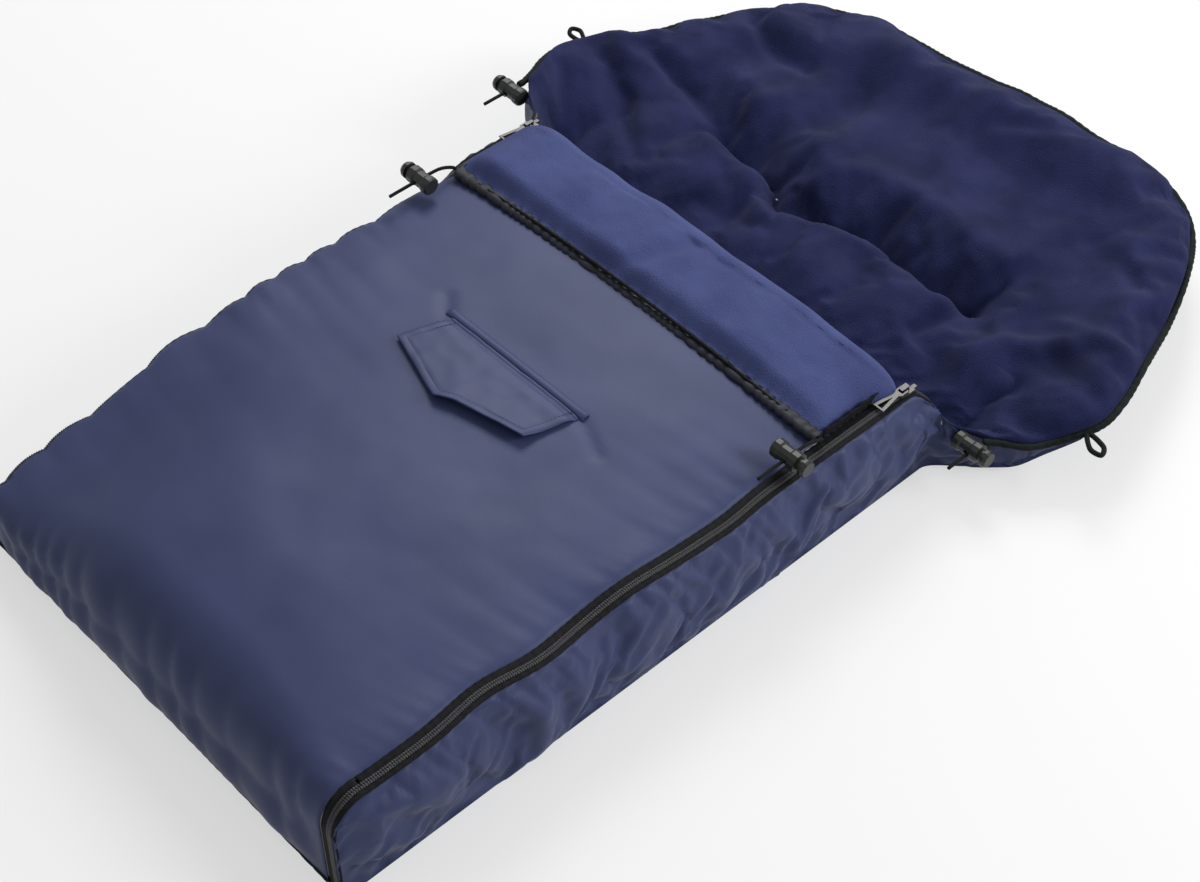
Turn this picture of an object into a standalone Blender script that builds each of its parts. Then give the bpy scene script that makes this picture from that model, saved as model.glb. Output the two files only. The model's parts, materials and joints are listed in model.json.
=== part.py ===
"""A stroller footmuff lying on its back: a padded bag with a zipped cover, and a hood at its head end.

Metres, +Z up, +Y from the foot to the head, +X to the right of someone who looks that way.
The origin is the middle of the floor area. Right-hand pieces are at +X.
"""

import math

import bmesh
import bpy
from mathutils import Matrix, Vector

for old_object in list(bpy.data.objects):
    bpy.data.objects.remove(old_object)

# Lengths along the footmuff
BAG_LENGTH = 0.600
HOOD_LENGTH = 0.350
COVER_LENGTH = 0.545
CUFF_DEPTH = 0.082

# Widths and heights
BAG_HALF_WIDTH = 0.223
HOOD_HALF_WIDTH = 0.317
ZIP_HEIGHT = 0.0955
FOOT_BEND = 0.030

# Cloth
GAP = 0.0003
SHELL = 0.0012
FLEECE = 0.0020
WALL_WADDING = 0.0054
FOOT_WADDING = 0.0047

# Back pad, under the child
BACK_EDGE = 0.018
BACK_CROWN = 0.012
BACK_ROUNDING = 0.060
BACK_START_SHARE = 0.2

# Side walls
WALL_BULGE = 0.005
WALL_BULGE_SHARES = (0.0, 0.7, 1.0, 0.7, 0.0)
WALL_DROP = 0.0032
WALL_END_HEIGHT = 0.060
WALL_END_GAP = 0.0012

# Cover
COVER_EDGE = 0.0085
COVER_LOFT = 0.009
COVER_CROWN = 0.012
COVER_ROUNDING = 0.110
FOLD_CROWN_SHARE = 0.40

# Cuff, folded back over the cover
CUFF_THICKNESS = 0.0095
CUFF_LOFT = 0.0025
CUFF_ROUNDING = 0.020
CUFF_EDGE_SHARE = 0.62

# Hood
HOOD_EDGE = 0.008
HOOD_CROWN = 0.0215
HOOD_RISE = 0.048
START_RISE_SHARE = 0.75
WING_START_WIDTH = 0.032
LEFT_START_RISE_SHARE = 1.5
LEFT_WING_START_WIDTH = 0.0553
WING_START_LENGTH = 0.110
WING_WIDTH = 0.100
TIP_ROUNDING = 0.070
TUFT_DEPTH = 0.013
TUFT_HALF_LENGTH = 0.165
TUFT_WIDTH = 0.026
PUFF = 0.008

# Start of the hood's outline: how far outside the bag it begins, then shares of the way
# from there to the hood's half width, with shares of its length. The left side starts wider.
START_OUT = 0.0388
LEFT_START_OUT = 0.0623
START_SHARES = ((0.0, 0.000), (0.012, 0.022), (0.254, 0.066), (0.724, 0.128))
LEFT_START_SHARES = ((0.0, 0.000), (0.030, 0.022), (0.250, 0.066), (0.650, 0.128))

# The rest of the outline, as shares of the hood's half width and of its length
RIM_SHARES = (
    (1.000, 0.205),
    (0.998, 0.290),
    (0.956, 0.414),
    (0.886, 0.600),
    (0.814, 0.743),
    (0.726, 0.871),
    (0.618, 0.949),
    (0.473, 0.988),
    (0.284, 1.000),
)
HOOD_COLUMN_SHARES = (0.0, 0.15, 0.30, 0.44, 0.57, 0.69, 0.77, 0.835, 0.92, 1.0)

# Harness slots
SLOT_DISTANCE = 0.115
SLOT_IN = 0.072
SLOT_LENGTH = 0.064
SLOT_WIDTH = 0.0094
SLOT_LINING = 0.0007

# Binding, hem and cords
BINDING_RADIUS = 0.0048
BORE_RADIUS = 0.0024
CORD_RADIUS = 0.0015
CORD_TAIL = 0.040
CUFF_CORD_TAIL = 0.068
CUFF_CORD_RISE = 0.0095
CUFF_CORD_OUT = 0.0068
LOOP_PROUD = 0.020
LOOP_HALF_WIDTH = 0.007
LOOP_SHARES = ((0, -0.5), (0.25, -0.7), (0.7, -1), (1, 0), (0.7, 1), (0.25, 0.7), (0, 0.5))
LOOP_RIGHT = 0.062
LOOP_LEFT = 0.105

# Zip
TAPE_WIDTH = 0.0086
TAPE_THICKNESS = 0.0014
TAPE_INSET = 0.0008
TOOTH_PITCH = 0.0125
TOOTH_ROOT = 0.0012
TOOTH_REACH = 0.0009
TOOTH_BASE_SHARE = 0.50
TOOTH_TIP_SHARE = 0.36
CUFF_TAPE_HEIGHT = 0.0075
STOP_LENGTH = 0.004
STOP_WIDTH = 0.0032
STOP_THICKNESS = 0.0012

# Slider and pull
SLIDER_LENGTH = 0.014
SLIDER_WIDTH = 0.0096
SLIDER_NECK = 0.0076
SLIDER_PLATE = 0.0012
SLIDER_CHANNEL = 0.0036
SLIDER_LIP = 0.0008
POST_LENGTH = 0.0050
POST_WIDTH = 0.0020
POST_OFFSET = 0.0023
SLIDER_REST = 0.0085
BAIL_LENGTH = 0.0080
BAIL_WIDTH = 0.0030
BAIL_BAR = 0.0010
BAIL_HEIGHT = 0.0032
PULL_LENGTH = 0.030
PULL_THICKNESS = 0.0012
PULL_BAR = 0.0007
PULL_EYE_WIDTH = 0.0080
PULL_EYE_LENGTH = 0.0075
PULL_WAIST = 0.0044
PULL_FLARE = 0.0110
PULL_RIM = 0.0015

# Pocket on the cover
POCKET_FROM_FOOT = 0.348
POCKET_HALF_WIDTH = 0.077
FLAP_SIDE_DEPTH = 0.038
FLAP_TIP_DEPTH = 0.057
FLAP_THICKNESS = 0.0016
FLAP_LIFT = 0.0005
FLAP_TIP_SHARES = (-0.18, 0.06)
WELT_WIDTH = 0.008
POUCH_DEPTH = 0.115
POUCH_PLY = 0.0006
POUCH_HOLLOW = 0.0006
SLIT_WIDTH = 0.0016
SLIT_SETBACK = 0.004

# Cord lock: a barrel with a sprung plunger
BARREL_RADIUS = 0.0080
BARREL_WAIST = 0.0070
BARREL_LENGTH = 0.024
BARREL_FLOOR = 0.0015
BARREL_BORE = 0.0052
BARREL_LIP = 0.0012
CORD_HOLE = 0.0020
SPRING_LENGTH = 0.0085
SPRING_RADIUS = 0.0038
SPRING_WIRE = 0.0004
SPRING_TURNS = 4
PLUNGER_RADIUS = 0.0049
PLUNGER_END = 0.0020
PRESS_TRAVEL = 0.004
CAP_RADIUS = 0.0074
CAP_LENGTH = 0.0050
LOCK_FROM_HEM = 0.0100
CUFF_LOCK_FROM_HEM = 0.0260
LOCK_SIDES = 12

# Round bodies and overrun of every cut
CORD_POINTS = 8
OVERRUN = 0.002

# Places that follow from the sizes
FOOT_Y = -(BAG_LENGTH + HOOD_LENGTH) / 2
HINGE_Y = FOOT_Y + BAG_LENGTH
TIP_Y = HINGE_Y + HOOD_LENGTH
FOLD_Y = FOOT_Y + COVER_LENGTH
BEND_Y = FOOT_Y + FOOT_BEND
WALL_SIDE = SHELL + GAP + WALL_WADDING + GAP + FLEECE
PAD_HALF_WIDTH = BAG_HALF_WIDTH - WALL_SIDE - GAP
CHAIN_X = BAG_HALF_WIDTH - TAPE_WIDTH
COVER_HALF_WIDTH = CHAIN_X - TAPE_WIDTH - GAP
CHAIN_Z = ZIP_HEIGHT - TAPE_INSET - TAPE_THICKNESS / 2
WALL_INSET = TAPE_INSET + TAPE_THICKNESS + GAP
FOOT_THICKNESS = SHELL + GAP + FOOT_WADDING + GAP + FLEECE
SLIDER_Y = FOLD_Y + SLIDER_REST
HOOD_HINGE_Z = BACK_EDGE + BACK_CROWN + GAP
CUFF_HINGE_Z = ZIP_HEIGHT + COVER_CROWN * FOLD_CROWN_SHARE + GAP
CUFF_EDGE_Y = FOLD_Y - CUFF_DEPTH
HEM_Y = CUFF_EDGE_Y + BINDING_RADIUS
CUFF_START_Y = HEM_Y + BINDING_RADIUS + GAP
POCKET_Y = FOOT_Y + POCKET_FROM_FOOT
SLOT_Y = HINGE_Y + SLOT_DISTANCE
RIM_INSET = 2 * BINDING_RADIUS + GAP
LOOP_REACH = HOOD_HALF_WIDTH + LOOP_PROUD

SIDES = (("left", -1), ("right", 1))

# Colour, roughness and metallic value of each material
MATERIALS = {
    "shell_fabric": ((0.055, 0.060, 0.110, 1.0), 0.55, 0.0),
    "fleece": ((0.030, 0.033, 0.085, 1.0), 0.95, 0.0),
    "wadding": ((0.800, 0.800, 0.790, 1.0), 0.95, 0.0),
    "zip_tape": ((0.012, 0.012, 0.014, 1.0), 0.70, 0.0),
    "binding": ((0.010, 0.014, 0.014, 1.0), 0.75, 0.0),
    "cord": ((0.012, 0.013, 0.012, 1.0), 0.80, 0.0),
    "silver_metal": ((0.620, 0.610, 0.600, 1.0), 0.28, 1.0),
    "toggle_plastic": ((0.030, 0.034, 0.028, 1.0), 0.45, 0.0),
    "spring_steel": ((0.500, 0.500, 0.500, 1.0), 0.35, 1.0),
}


def material(kind):
    """The material of one kind, made when it is first asked for."""
    if kind in bpy.data.materials:
        return bpy.data.materials[kind]
    made = bpy.data.materials.new(kind)
    made.use_nodes = True
    shader = made.node_tree.nodes["Principled BSDF"]
    colour, roughness, metallic = MATERIALS[kind]
    shader.inputs["Base Color"].default_value = colour
    shader.inputs["Roughness"].default_value = roughness
    shader.inputs["Metallic"].default_value = metallic
    return made


def joint_empty(name, place, parent=None):
    """An empty on a joint's axis, which carries the pieces that move there."""
    empty = bpy.data.objects.new(name, None)
    bpy.context.scene.collection.objects.link(empty)
    offset = parent["place"] if parent else (0, 0, 0)
    empty["place"] = place
    empty.location = Vector(place) - Vector(offset)
    empty.parent = parent
    return empty


def add_object(name, data, kind, joint=None):
    """A piece whose mesh is in world places, carried by a joint's empty."""
    piece = bpy.data.objects.new(name, data)
    bpy.context.scene.collection.objects.link(piece)
    data.materials.append(material(kind))
    if joint:
        piece.parent = joint
        piece.matrix_parent_inverse = Matrix.Translation(-Vector(joint["place"]))
    return piece


def mesh_of(shape, name, smooth_angle=None):
    """Turn a bmesh into a mesh with its faces pointing out."""
    bmesh.ops.recalc_face_normals(shape, faces=shape.faces[:])
    data = bpy.data.meshes.new(name)
    shape.to_mesh(data)
    shape.free()
    if smooth_angle:
        data.shade_smooth()
        data.set_sharp_from_angle(angle=smooth_angle)
    return data


def smooth(share):
    """Rises from 0 to 1 with level ends."""
    share = min(max(share, 0.0), 1.0)
    return share * share * (3 - 2 * share)


def spread(first, last, steps):
    """Evenly spaced values from first to last."""
    return [first + (last - first) * step / steps for step in range(steps + 1)]


def between(values, share):
    """The value at a share of the way through a list, straight from one value to the next."""
    place = share * (len(values) - 1)
    k = min(int(place), len(values) - 2)
    return values[k] + (values[k + 1] - values[k]) * (place - k)


def both_sides(shares):
    """A list of shares from 0 to 1, mirrored to run from -1 to 1."""
    return [-share for share in reversed(shares[1:])] + list(shares)


def layer(name, kind, upper, lower, joint=None):
    """A closed layer of cloth between two grids of points with the same rows and columns."""
    shape = bmesh.new()
    rows = len(upper)
    columns = len(upper[0])
    faces = []
    for grid in (upper, lower):
        faces.append([[shape.verts.new(point) for point in row] for row in grid])
    for points in faces:
        for row in range(rows - 1):
            for column in range(columns - 1):
                a = points[row][column]
                b = points[row][column + 1]
                c = points[row + 1][column + 1]
                d = points[row + 1][column]
                if column < (columns - 1) / 2:
                    shape.faces.new((a, b, c))
                    shape.faces.new((a, c, d))
                else:
                    shape.faces.new((a, b, d))
                    shape.faces.new((b, c, d))
    rim = [(0, column) for column in range(columns)]
    rim += [(row, columns - 1) for row in range(1, rows)]
    rim += [(rows - 1, column) for column in range(columns - 2, -1, -1)]
    rim += [(row, 0) for row in range(rows - 2, 0, -1)]
    top, low = faces
    for (i, j), (k, m) in zip(rim, rim[1:] + rim[:1]):
        shape.faces.new((top[i][j], low[i][j], low[k][m], top[k][m]))
    return add_object(name, mesh_of(shape, name, math.radians(40)), kind, joint)


def stack(names, grid, depths, joint=None):
    """Layers on top of each other: grid gives a point at a depth under the upper face."""
    for (name, kind), (upper, lower) in zip(names, depths):
        layer(name, kind, grid(upper), grid(lower), joint)


def solid_outline(outline, low, high):
    """A flat outline in X and Y, raised from one height to another."""
    shape = bmesh.new()
    under = [shape.verts.new((x, y, low)) for x, y in outline]
    over = [shape.verts.new((x, y, high)) for x, y in outline]
    shape.faces.new(under)
    shape.faces.new(over)
    for k in range(len(outline)):
        after = (k + 1) % len(outline)
        shape.faces.new((under[k], under[after], over[after], over[k]))
    return shape


def box_outline(width, length, middle_x=0.0, middle_y=0.0):
    """A rectangle's four corners."""
    return [
        (middle_x - width / 2, middle_y - length / 2),
        (middle_x + width / 2, middle_y - length / 2),
        (middle_x + width / 2, middle_y + length / 2),
        (middle_x - width / 2, middle_y + length / 2),
    ]


def tool(shape, name):
    """A helper that joins or cuts another shape and isn't a piece itself."""
    piece = bpy.data.objects.new(name, mesh_of(shape, name))
    bpy.context.scene.collection.objects.link(piece)
    piece.hide_render = True
    piece.display_type = "WIRE"
    return piece


def combine(piece, tools, operation):
    """Join or cut a piece with tools by Boolean modifiers."""
    for other in tools:
        step = piece.modifiers.new(f"{operation} {other.name}", "BOOLEAN")
        step.operation = operation
        step.solver = "EXACT"
        step.object = other


def finished_mesh(shape, name, joined=(), cut=()):
    """The mesh of a shape after its Boolean steps, for copies that share it."""
    piece = tool(shape, name)
    joined = [tool(other, name + "_joined") for other in joined]
    cut = [tool(other, name + "_cut") for other in cut]
    combine(piece, joined, "UNION")
    combine(piece, cut, "DIFFERENCE")
    bpy.context.view_layer.update()
    seen = piece.evaluated_get(bpy.context.evaluated_depsgraph_get())
    data = bpy.data.meshes.new_from_object(seen)
    data.name = name
    for helper in [piece, *joined, *cut]:
        bpy.data.objects.remove(helper)
    data.shade_smooth()
    data.set_sharp_from_angle(angle=math.radians(35))
    return data


def copy_at(name, data, kind, place, joint, turned=0.0):
    """A copy of a shared mesh, turned about Z and put at a place in the world."""
    piece = bpy.data.objects.new(name, data)
    bpy.context.scene.collection.objects.link(piece)
    if not data.materials:
        data.materials.append(material(kind))
    piece.parent = joint
    piece.location = Vector(place) - Vector(joint["place"])
    piece.rotation_euler = (0, 0, turned)
    return piece


def revolved(profile, sides):
    """A profile of (radius, place) turned about the X axis. It starts and ends on the axis."""
    shape = bmesh.new()
    rings = []
    for radius, place in profile:
        if radius == 0:
            rings.append([shape.verts.new((place, 0, 0))])
            continue
        ring = []
        for side in range(sides):
            angle = 2 * math.pi * (side + 0.5) / sides
            ring.append(shape.verts.new((place, radius * math.cos(angle), radius * math.sin(angle))))
        rings.append(ring)
    for ring, after in zip(rings, rings[1:]):
        for side in range(sides):
            following = (side + 1) % sides
            corners = [ring[side % len(ring)], ring[following % len(ring)]]
            corners += [after[following % len(after)], after[side % len(after)]]
            shape.faces.new(list(dict.fromkeys(corners)))
    return shape


def round_bar(radius, start, end, sides, middle):
    """A round bar along Y, from one place to another, at a place in X and Z."""
    shape = bmesh.new()
    ends = []
    for y in (start, end):
        ring = []
        for side in range(sides):
            angle = 2 * math.pi * (side + 0.5) / sides
            x = middle[0] + radius * math.cos(angle)
            z = middle[1] + radius * math.sin(angle)
            ring.append(shape.verts.new((x, y, z)))
        ends.append(ring)
        shape.faces.new(ring)
    for side in range(sides):
        after = (side + 1) % sides
        shape.faces.new((ends[0][side], ends[0][after], ends[1][after], ends[1][side]))
    return shape


def channel(name, kind, points, joint):
    """A cloth channel round a cord: a tube with a bore, open at both ends."""
    shape = bmesh.new()
    rings = []
    for k, point in enumerate(points):
        before = points[max(k - 1, 0)]
        after = points[min(k + 1, len(points) - 1)]
        along = (Vector(after) - Vector(before)).normalized()
        side = along.cross(Vector((0, 0, 1))).normalized()
        up = side.cross(along)
        for radius in (BINDING_RADIUS, BORE_RADIUS):
            ring = []
            for step in range(CORD_POINTS):
                angle = 2 * math.pi * (step + 0.5) / CORD_POINTS
                corner = Vector(point) + radius * (math.cos(angle) * side + math.sin(angle) * up)
                ring.append(shape.verts.new(corner))
            rings.append(ring)
    for k in range(len(rings) - 2):
        for step in range(CORD_POINTS):
            after = (step + 1) % CORD_POINTS
            shape.faces.new((rings[k][step], rings[k][after], rings[k + 2][after], rings[k + 2][step]))
    for outer, inner in ((rings[0], rings[1]), (rings[-2], rings[-1])):
        for step in range(CORD_POINTS):
            after = (step + 1) % CORD_POINTS
            shape.faces.new((outer[step], outer[after], inner[after], inner[step]))
    return add_object(name, mesh_of(shape, name, math.radians(50)), kind, joint)


def cord(name, points, joint):
    """A round cord along a list of points."""
    data = bpy.data.curves.new(name, "CURVE")
    data.dimensions = "3D"
    data.bevel_depth = CORD_RADIUS
    data.bevel_resolution = 1
    data.use_fill_caps = True
    run = data.splines.new("POLY")
    run.points.add(len(points) - 1)
    for k, (x, y, z) in enumerate(points):
        run.points[k].co = (x, y, z, 1)
    return add_object(name, data, "cord", joint)


def curve_through(points, steps):
    """A smooth curve through a list of points, with a number of steps between each two."""
    points = [Vector(point) for point in points]
    found = []
    for k in range(len(points) - 1):
        before = points[max(k - 1, 0)]
        start = points[k]
        end = points[k + 1]
        after = points[min(k + 2, len(points) - 1)]
        for step in range(steps):
            t = step / steps
            found.append(
                (
                    2 * start
                    + (end - before) * t
                    + (2 * before - 5 * start + 4 * end - after) * t * t
                    + (3 * start - before - 3 * end + after) * t * t * t
                )
                / 2
            )
    found.append(points[-1])
    return found


# Joints, each an empty on its axis
HOOD_JOINT = joint_empty("hood_joint", (0, HINGE_Y, HOOD_HINGE_Z))
FOOT_JOINT = joint_empty("foot_joint", (0, FOOT_Y, 0))
COVER_JOINT = joint_empty("cover_joint", (0, BEND_Y, ZIP_HEIGHT), FOOT_JOINT)
CUFF_JOINT = joint_empty("cuff_joint", (0, FOLD_Y, CUFF_HINGE_Z), COVER_JOINT)


def cover_columns():
    """The cover's and the cuff's shared places in X."""
    return [COVER_HALF_WIDTH * share for share in spread(-1, 1, 12)]


def cover_crown(x, y):
    """How far the cover's pillow has risen, as a share: none at its sides and at the foot."""
    across = [1 - share**2 for share in spread(-1, 1, 12)]
    side_share = min(max((x / COVER_HALF_WIDTH + 1) / 2, 0), 1)
    fold = 1 - (1 - FOLD_CROWN_SHARE) * smooth((y - FOLD_Y + COVER_ROUNDING) / COVER_ROUNDING)
    return between(across, side_share) * smooth((y - BEND_Y) / COVER_ROUNDING) * fold


def cover_top(x, y):
    """Height of the cover's outer face."""
    return ZIP_HEIGHT + COVER_CROWN * cover_crown(x, y)


def cover_thickness(x, y):
    """The cover's whole thickness, which grows with its crown."""
    return COVER_EDGE + COVER_LOFT * cover_crown(x, y)


def cuff_rows():
    """The cuff's places in Y, from its hem to the fold. The cover has the same ones under it."""
    rows = [CUFF_START_Y, CUFF_START_Y + CUFF_ROUNDING]
    rows += spread(CUFF_START_Y + 2 * CUFF_ROUNDING, FOLD_Y - CUFF_ROUNDING / 2, 1)
    return rows + [FOLD_Y - CUFF_ROUNDING / 8]


def build_back():
    """The bag's back pad: outer shell, wadding and fleece between the side walls."""
    columns = [PAD_HALF_WIDTH * share for share in spread(-1, 1, 8)]
    start = FOOT_Y + FOOT_THICKNESS + GAP
    rows = spread(start, HINGE_Y - GAP, 7)

    def height(x, y):
        across = 1 - (x / PAD_HALF_WIDTH) ** 4
        return BACK_EDGE + BACK_CROWN * across * smooth((y - start) / BACK_ROUNDING + BACK_START_SHARE)

    def top_grid(depth):
        return [[(x, y, height(x, y) - depth) for x in columns] for y in rows]

    def floor_grid(level):
        return [[(x, y, level) for x in columns] for y in rows]

    layer("back_shell", "shell_fabric", floor_grid(SHELL), floor_grid(0))
    layer("back_wadding", "wadding", top_grid(FLEECE + GAP), floor_grid(SHELL + GAP))
    layer("back_lining", "fleece", top_grid(0), top_grid(FLEECE))


def chain_height(y):
    """Height of the wall's outer line over the straight run and over its slope beyond the slider."""
    straight_end = SLIDER_Y + SLIDER_LENGTH / 2 + STOP_LENGTH + GAP
    fall = ZIP_HEIGHT - WALL_END_HEIGHT
    return ZIP_HEIGHT - fall * max(y - straight_end, 0) / (HINGE_Y - straight_end)


def wall_top(y, inset):
    """Height of the wall's upper edge, kept inside its outer line by an inset."""
    if y >= BEND_Y:
        return chain_height(y) - inset
    radius = FOOT_BEND - inset
    return ZIP_HEIGHT - FOOT_BEND + math.sqrt(max(radius**2 - (BEND_Y - y) ** 2, 0))


def build_walls():
    """The side walls: shell, wadding and fleece, bulged outwards between floor and zip."""
    radius = FOOT_BEND - WALL_INSET
    bend = [BEND_Y - radius * math.sin(math.radians(turn)) for turn in (90, 62, 34)]
    straight_end = SLIDER_Y + SLIDER_LENGTH / 2 + STOP_LENGTH + GAP
    columns = bend + spread(BEND_Y, straight_end, 8) + [HINGE_Y - WALL_END_GAP]
    padded = list(zip(spread(0, 1, 4), WALL_BULGE_SHARES))

    def row_at(depth, share, bulge, top_drop):
        """One row along the wall. Its bulge fades out at the foot end and at the head end."""
        row = []
        for y in columns:
            along = smooth((y - FOOT_Y) / COVER_ROUNDING) * smooth((HINGE_Y - y) / FOOT_BEND)
            x = BAG_HALF_WIDTH - depth + WALL_BULGE * bulge * along
            row.append((x, y, share * (wall_top(y, WALL_INSET) - top_drop)))
        return row

    def grid(depth, sign, reaches_zip=False):
        rows = [row_at(depth, share, bulge, WALL_DROP) for share, bulge in padded]
        if reaches_zip:
            rows.append(row_at(depth, 1, 0, 0))
        return [[(sign * x, y, z) for x, y, z in row] for row in rows]

    wadding = SHELL + GAP
    lining = wadding + WALL_WADDING + GAP
    for side, sign in SIDES:
        layer(f"wall_shell_{side}", "shell_fabric", grid(0, sign, True), grid(SHELL, sign, True))
        layer(
            f"wall_wadding_{side}",
            "wadding",
            grid(wadding, sign),
            grid(wadding + WALL_WADDING, sign),
        )
        layer(f"wall_lining_{side}", "fleece", grid(lining, sign), grid(lining + FLEECE, sign))


def build_foot():
    """The foot end: three layers that come down from the cover in a rounded edge to the floor."""
    columns = [COVER_HALF_WIDTH * share for share in spread(-1, 1, 8)]
    bends = [math.radians(turn) for turn in spread(0, 90, 4)]

    def grid(depth):
        radius = FOOT_BEND - depth
        places = [
            (BEND_Y - radius * math.sin(turn), ZIP_HEIGHT - FOOT_BEND + radius * math.cos(turn))
            for turn in bends
        ]
        places[0] = (BEND_Y - GAP, places[0][1])
        places += [(FOOT_Y + depth, (ZIP_HEIGHT - FOOT_BEND) / 2), (FOOT_Y + depth, GAP)]
        return [[(x, y, z) for x in columns] for y, z in places]

    wadding = SHELL + GAP
    lining = wadding + FOOT_WADDING + GAP
    stack(
        (("foot_shell", "shell_fabric"), ("foot_wadding", "wadding"), ("foot_lining", "fleece")),
        grid,
        ((0, SHELL), (wadding, wadding + FOOT_WADDING), (lining, lining + FLEECE)),
        FOOT_JOINT,
    )


def columns_within(half, more=()):
    """The cover's places in X as far as a half width, with its ends and some more places."""
    inner = [x for x in cover_columns() if abs(x) < half - GAP]
    return sorted([-half, half, *inner, *more])


def under_cover(half, foot, head, depth):
    """A grid at a depth under the cover's outer face. Over the cover the depth is below zero."""
    return [
        [(x, y, cover_top(x, y) - depth) for x in columns_within(half)]
        for y in (foot, head)
    ]


def build_cover():
    """The cover's shell, wadding and fleece, with the pocket's slit and room for its pouch."""
    columns = cover_columns()
    rows = spread(BEND_Y + GAP, BEND_Y + COVER_ROUNDING, 4)
    rows += [FOLD_Y - COVER_ROUNDING, *cuff_rows(), FOLD_Y - GAP]
    room = POUCH_PLY + POUCH_HOLLOW + POUCH_PLY + SHELL + 3 * GAP

    def from_top(depth):
        return [[(x, y, cover_top(x, y) - depth) for x in columns] for y in rows]

    def from_below(height):
        return [
            [(x, y, cover_top(x, y) - cover_thickness(x, y) + height) for x in columns]
            for y in rows
        ]

    shell = layer("cover_shell", "shell_fabric", from_top(0), from_top(SHELL), COVER_JOINT)
    slit = solid_outline(
        box_outline(2 * (POCKET_HALF_WIDTH - SLIT_SETBACK), SLIT_WIDTH, 0, POCKET_Y - SLIT_SETBACK),
        ZIP_HEIGHT - OVERRUN,
        ZIP_HEIGHT + COVER_CROWN + OVERRUN,
    )
    combine(shell, [tool(slit, "slit_cut")], "DIFFERENCE")
    wadding = layer(
        "cover_wadding",
        "wadding",
        from_top(SHELL + GAP),
        from_below(FLEECE + GAP),
        COVER_JOINT,
    )
    area = (POCKET_HALF_WIDTH + GAP, POCKET_Y - POUCH_DEPTH - GAP, POCKET_Y)
    recess = layer("recess_cut", "wadding", under_cover(*area, 0), under_cover(*area, room))
    recess.hide_render = True
    recess.display_type = "WIRE"
    combine(wadding, [recess], "DIFFERENCE")
    layer("cover_lining", "fleece", from_below(FLEECE), from_below(0), COVER_JOINT)


def build_pocket():
    """The pocket: a flat pouch under the shell, a welt along its mouth and a pointed flap."""
    start = SHELL + GAP + GAP
    inner = start + POUCH_PLY
    area = (POCKET_HALF_WIDTH, POCKET_Y - POUCH_DEPTH, POCKET_Y - GAP)
    pouch = layer(
        "pocket_pouch",
        "shell_fabric",
        under_cover(*area, start),
        under_cover(*area, inner + POUCH_HOLLOW + POUCH_PLY),
        COVER_JOINT,
    )
    area = (
        POCKET_HALF_WIDTH - SLIT_SETBACK,
        POCKET_Y - POUCH_DEPTH + SLIT_SETBACK,
        POCKET_Y + OVERRUN,
    )
    hollow = layer(
        "hollow_cut",
        "shell_fabric",
        under_cover(*area, inner),
        under_cover(*area, inner + POUCH_HOLLOW),
    )
    hollow.hide_render = True
    hollow.display_type = "WIRE"
    combine(pouch, [hollow], "DIFFERENCE")

    low = -FLAP_LIFT
    high = -(FLAP_LIFT + FLAP_THICKNESS)

    area = (POCKET_HALF_WIDTH + FLAP_THICKNESS, POCKET_Y + GAP, POCKET_Y + WELT_WIDTH)
    layer(
        "pocket_welt",
        "shell_fabric",
        under_cover(*area, high),
        under_cover(*area, low),
        COVER_JOINT,
    )

    left_tip, right_tip = (POCKET_HALF_WIDTH * share for share in FLAP_TIP_SHARES)
    columns = columns_within(POCKET_HALF_WIDTH, (left_tip, right_tip))

    def depth_at(x):
        if x < left_tip:
            share = (x + POCKET_HALF_WIDTH) / (left_tip + POCKET_HALF_WIDTH)
        elif x > right_tip:
            share = (POCKET_HALF_WIDTH - x) / (POCKET_HALF_WIDTH - right_tip)
        else:
            share = 1
        return FLAP_SIDE_DEPTH + (FLAP_TIP_DEPTH - FLAP_SIDE_DEPTH) * share

    def flap(depth):
        return [
            [
                (x, POCKET_Y - row * depth_at(x), cover_top(x, POCKET_Y - row * depth_at(x)) - depth)
                for x in columns
            ]
            for row in spread(1, 0, 3)
        ]

    hinge_z = cover_top(0, POCKET_Y) + FLAP_LIFT + FLAP_THICKNESS
    joint = joint_empty("flap_joint", (0, POCKET_Y, hinge_z), COVER_JOINT)
    layer("pocket_flap", "shell_fabric", flap(high), flap(low), joint)


def cuff_base(x, y):
    """Height of the cuff's under face, on the cover."""
    return cover_top(x, y) + GAP


def hem_points():
    """The hem's middle line, across the cover."""
    return [
        Vector((x, HEM_Y, cuff_base(x, HEM_Y) + BINDING_RADIUS))
        for x in cover_columns()
    ]


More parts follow.
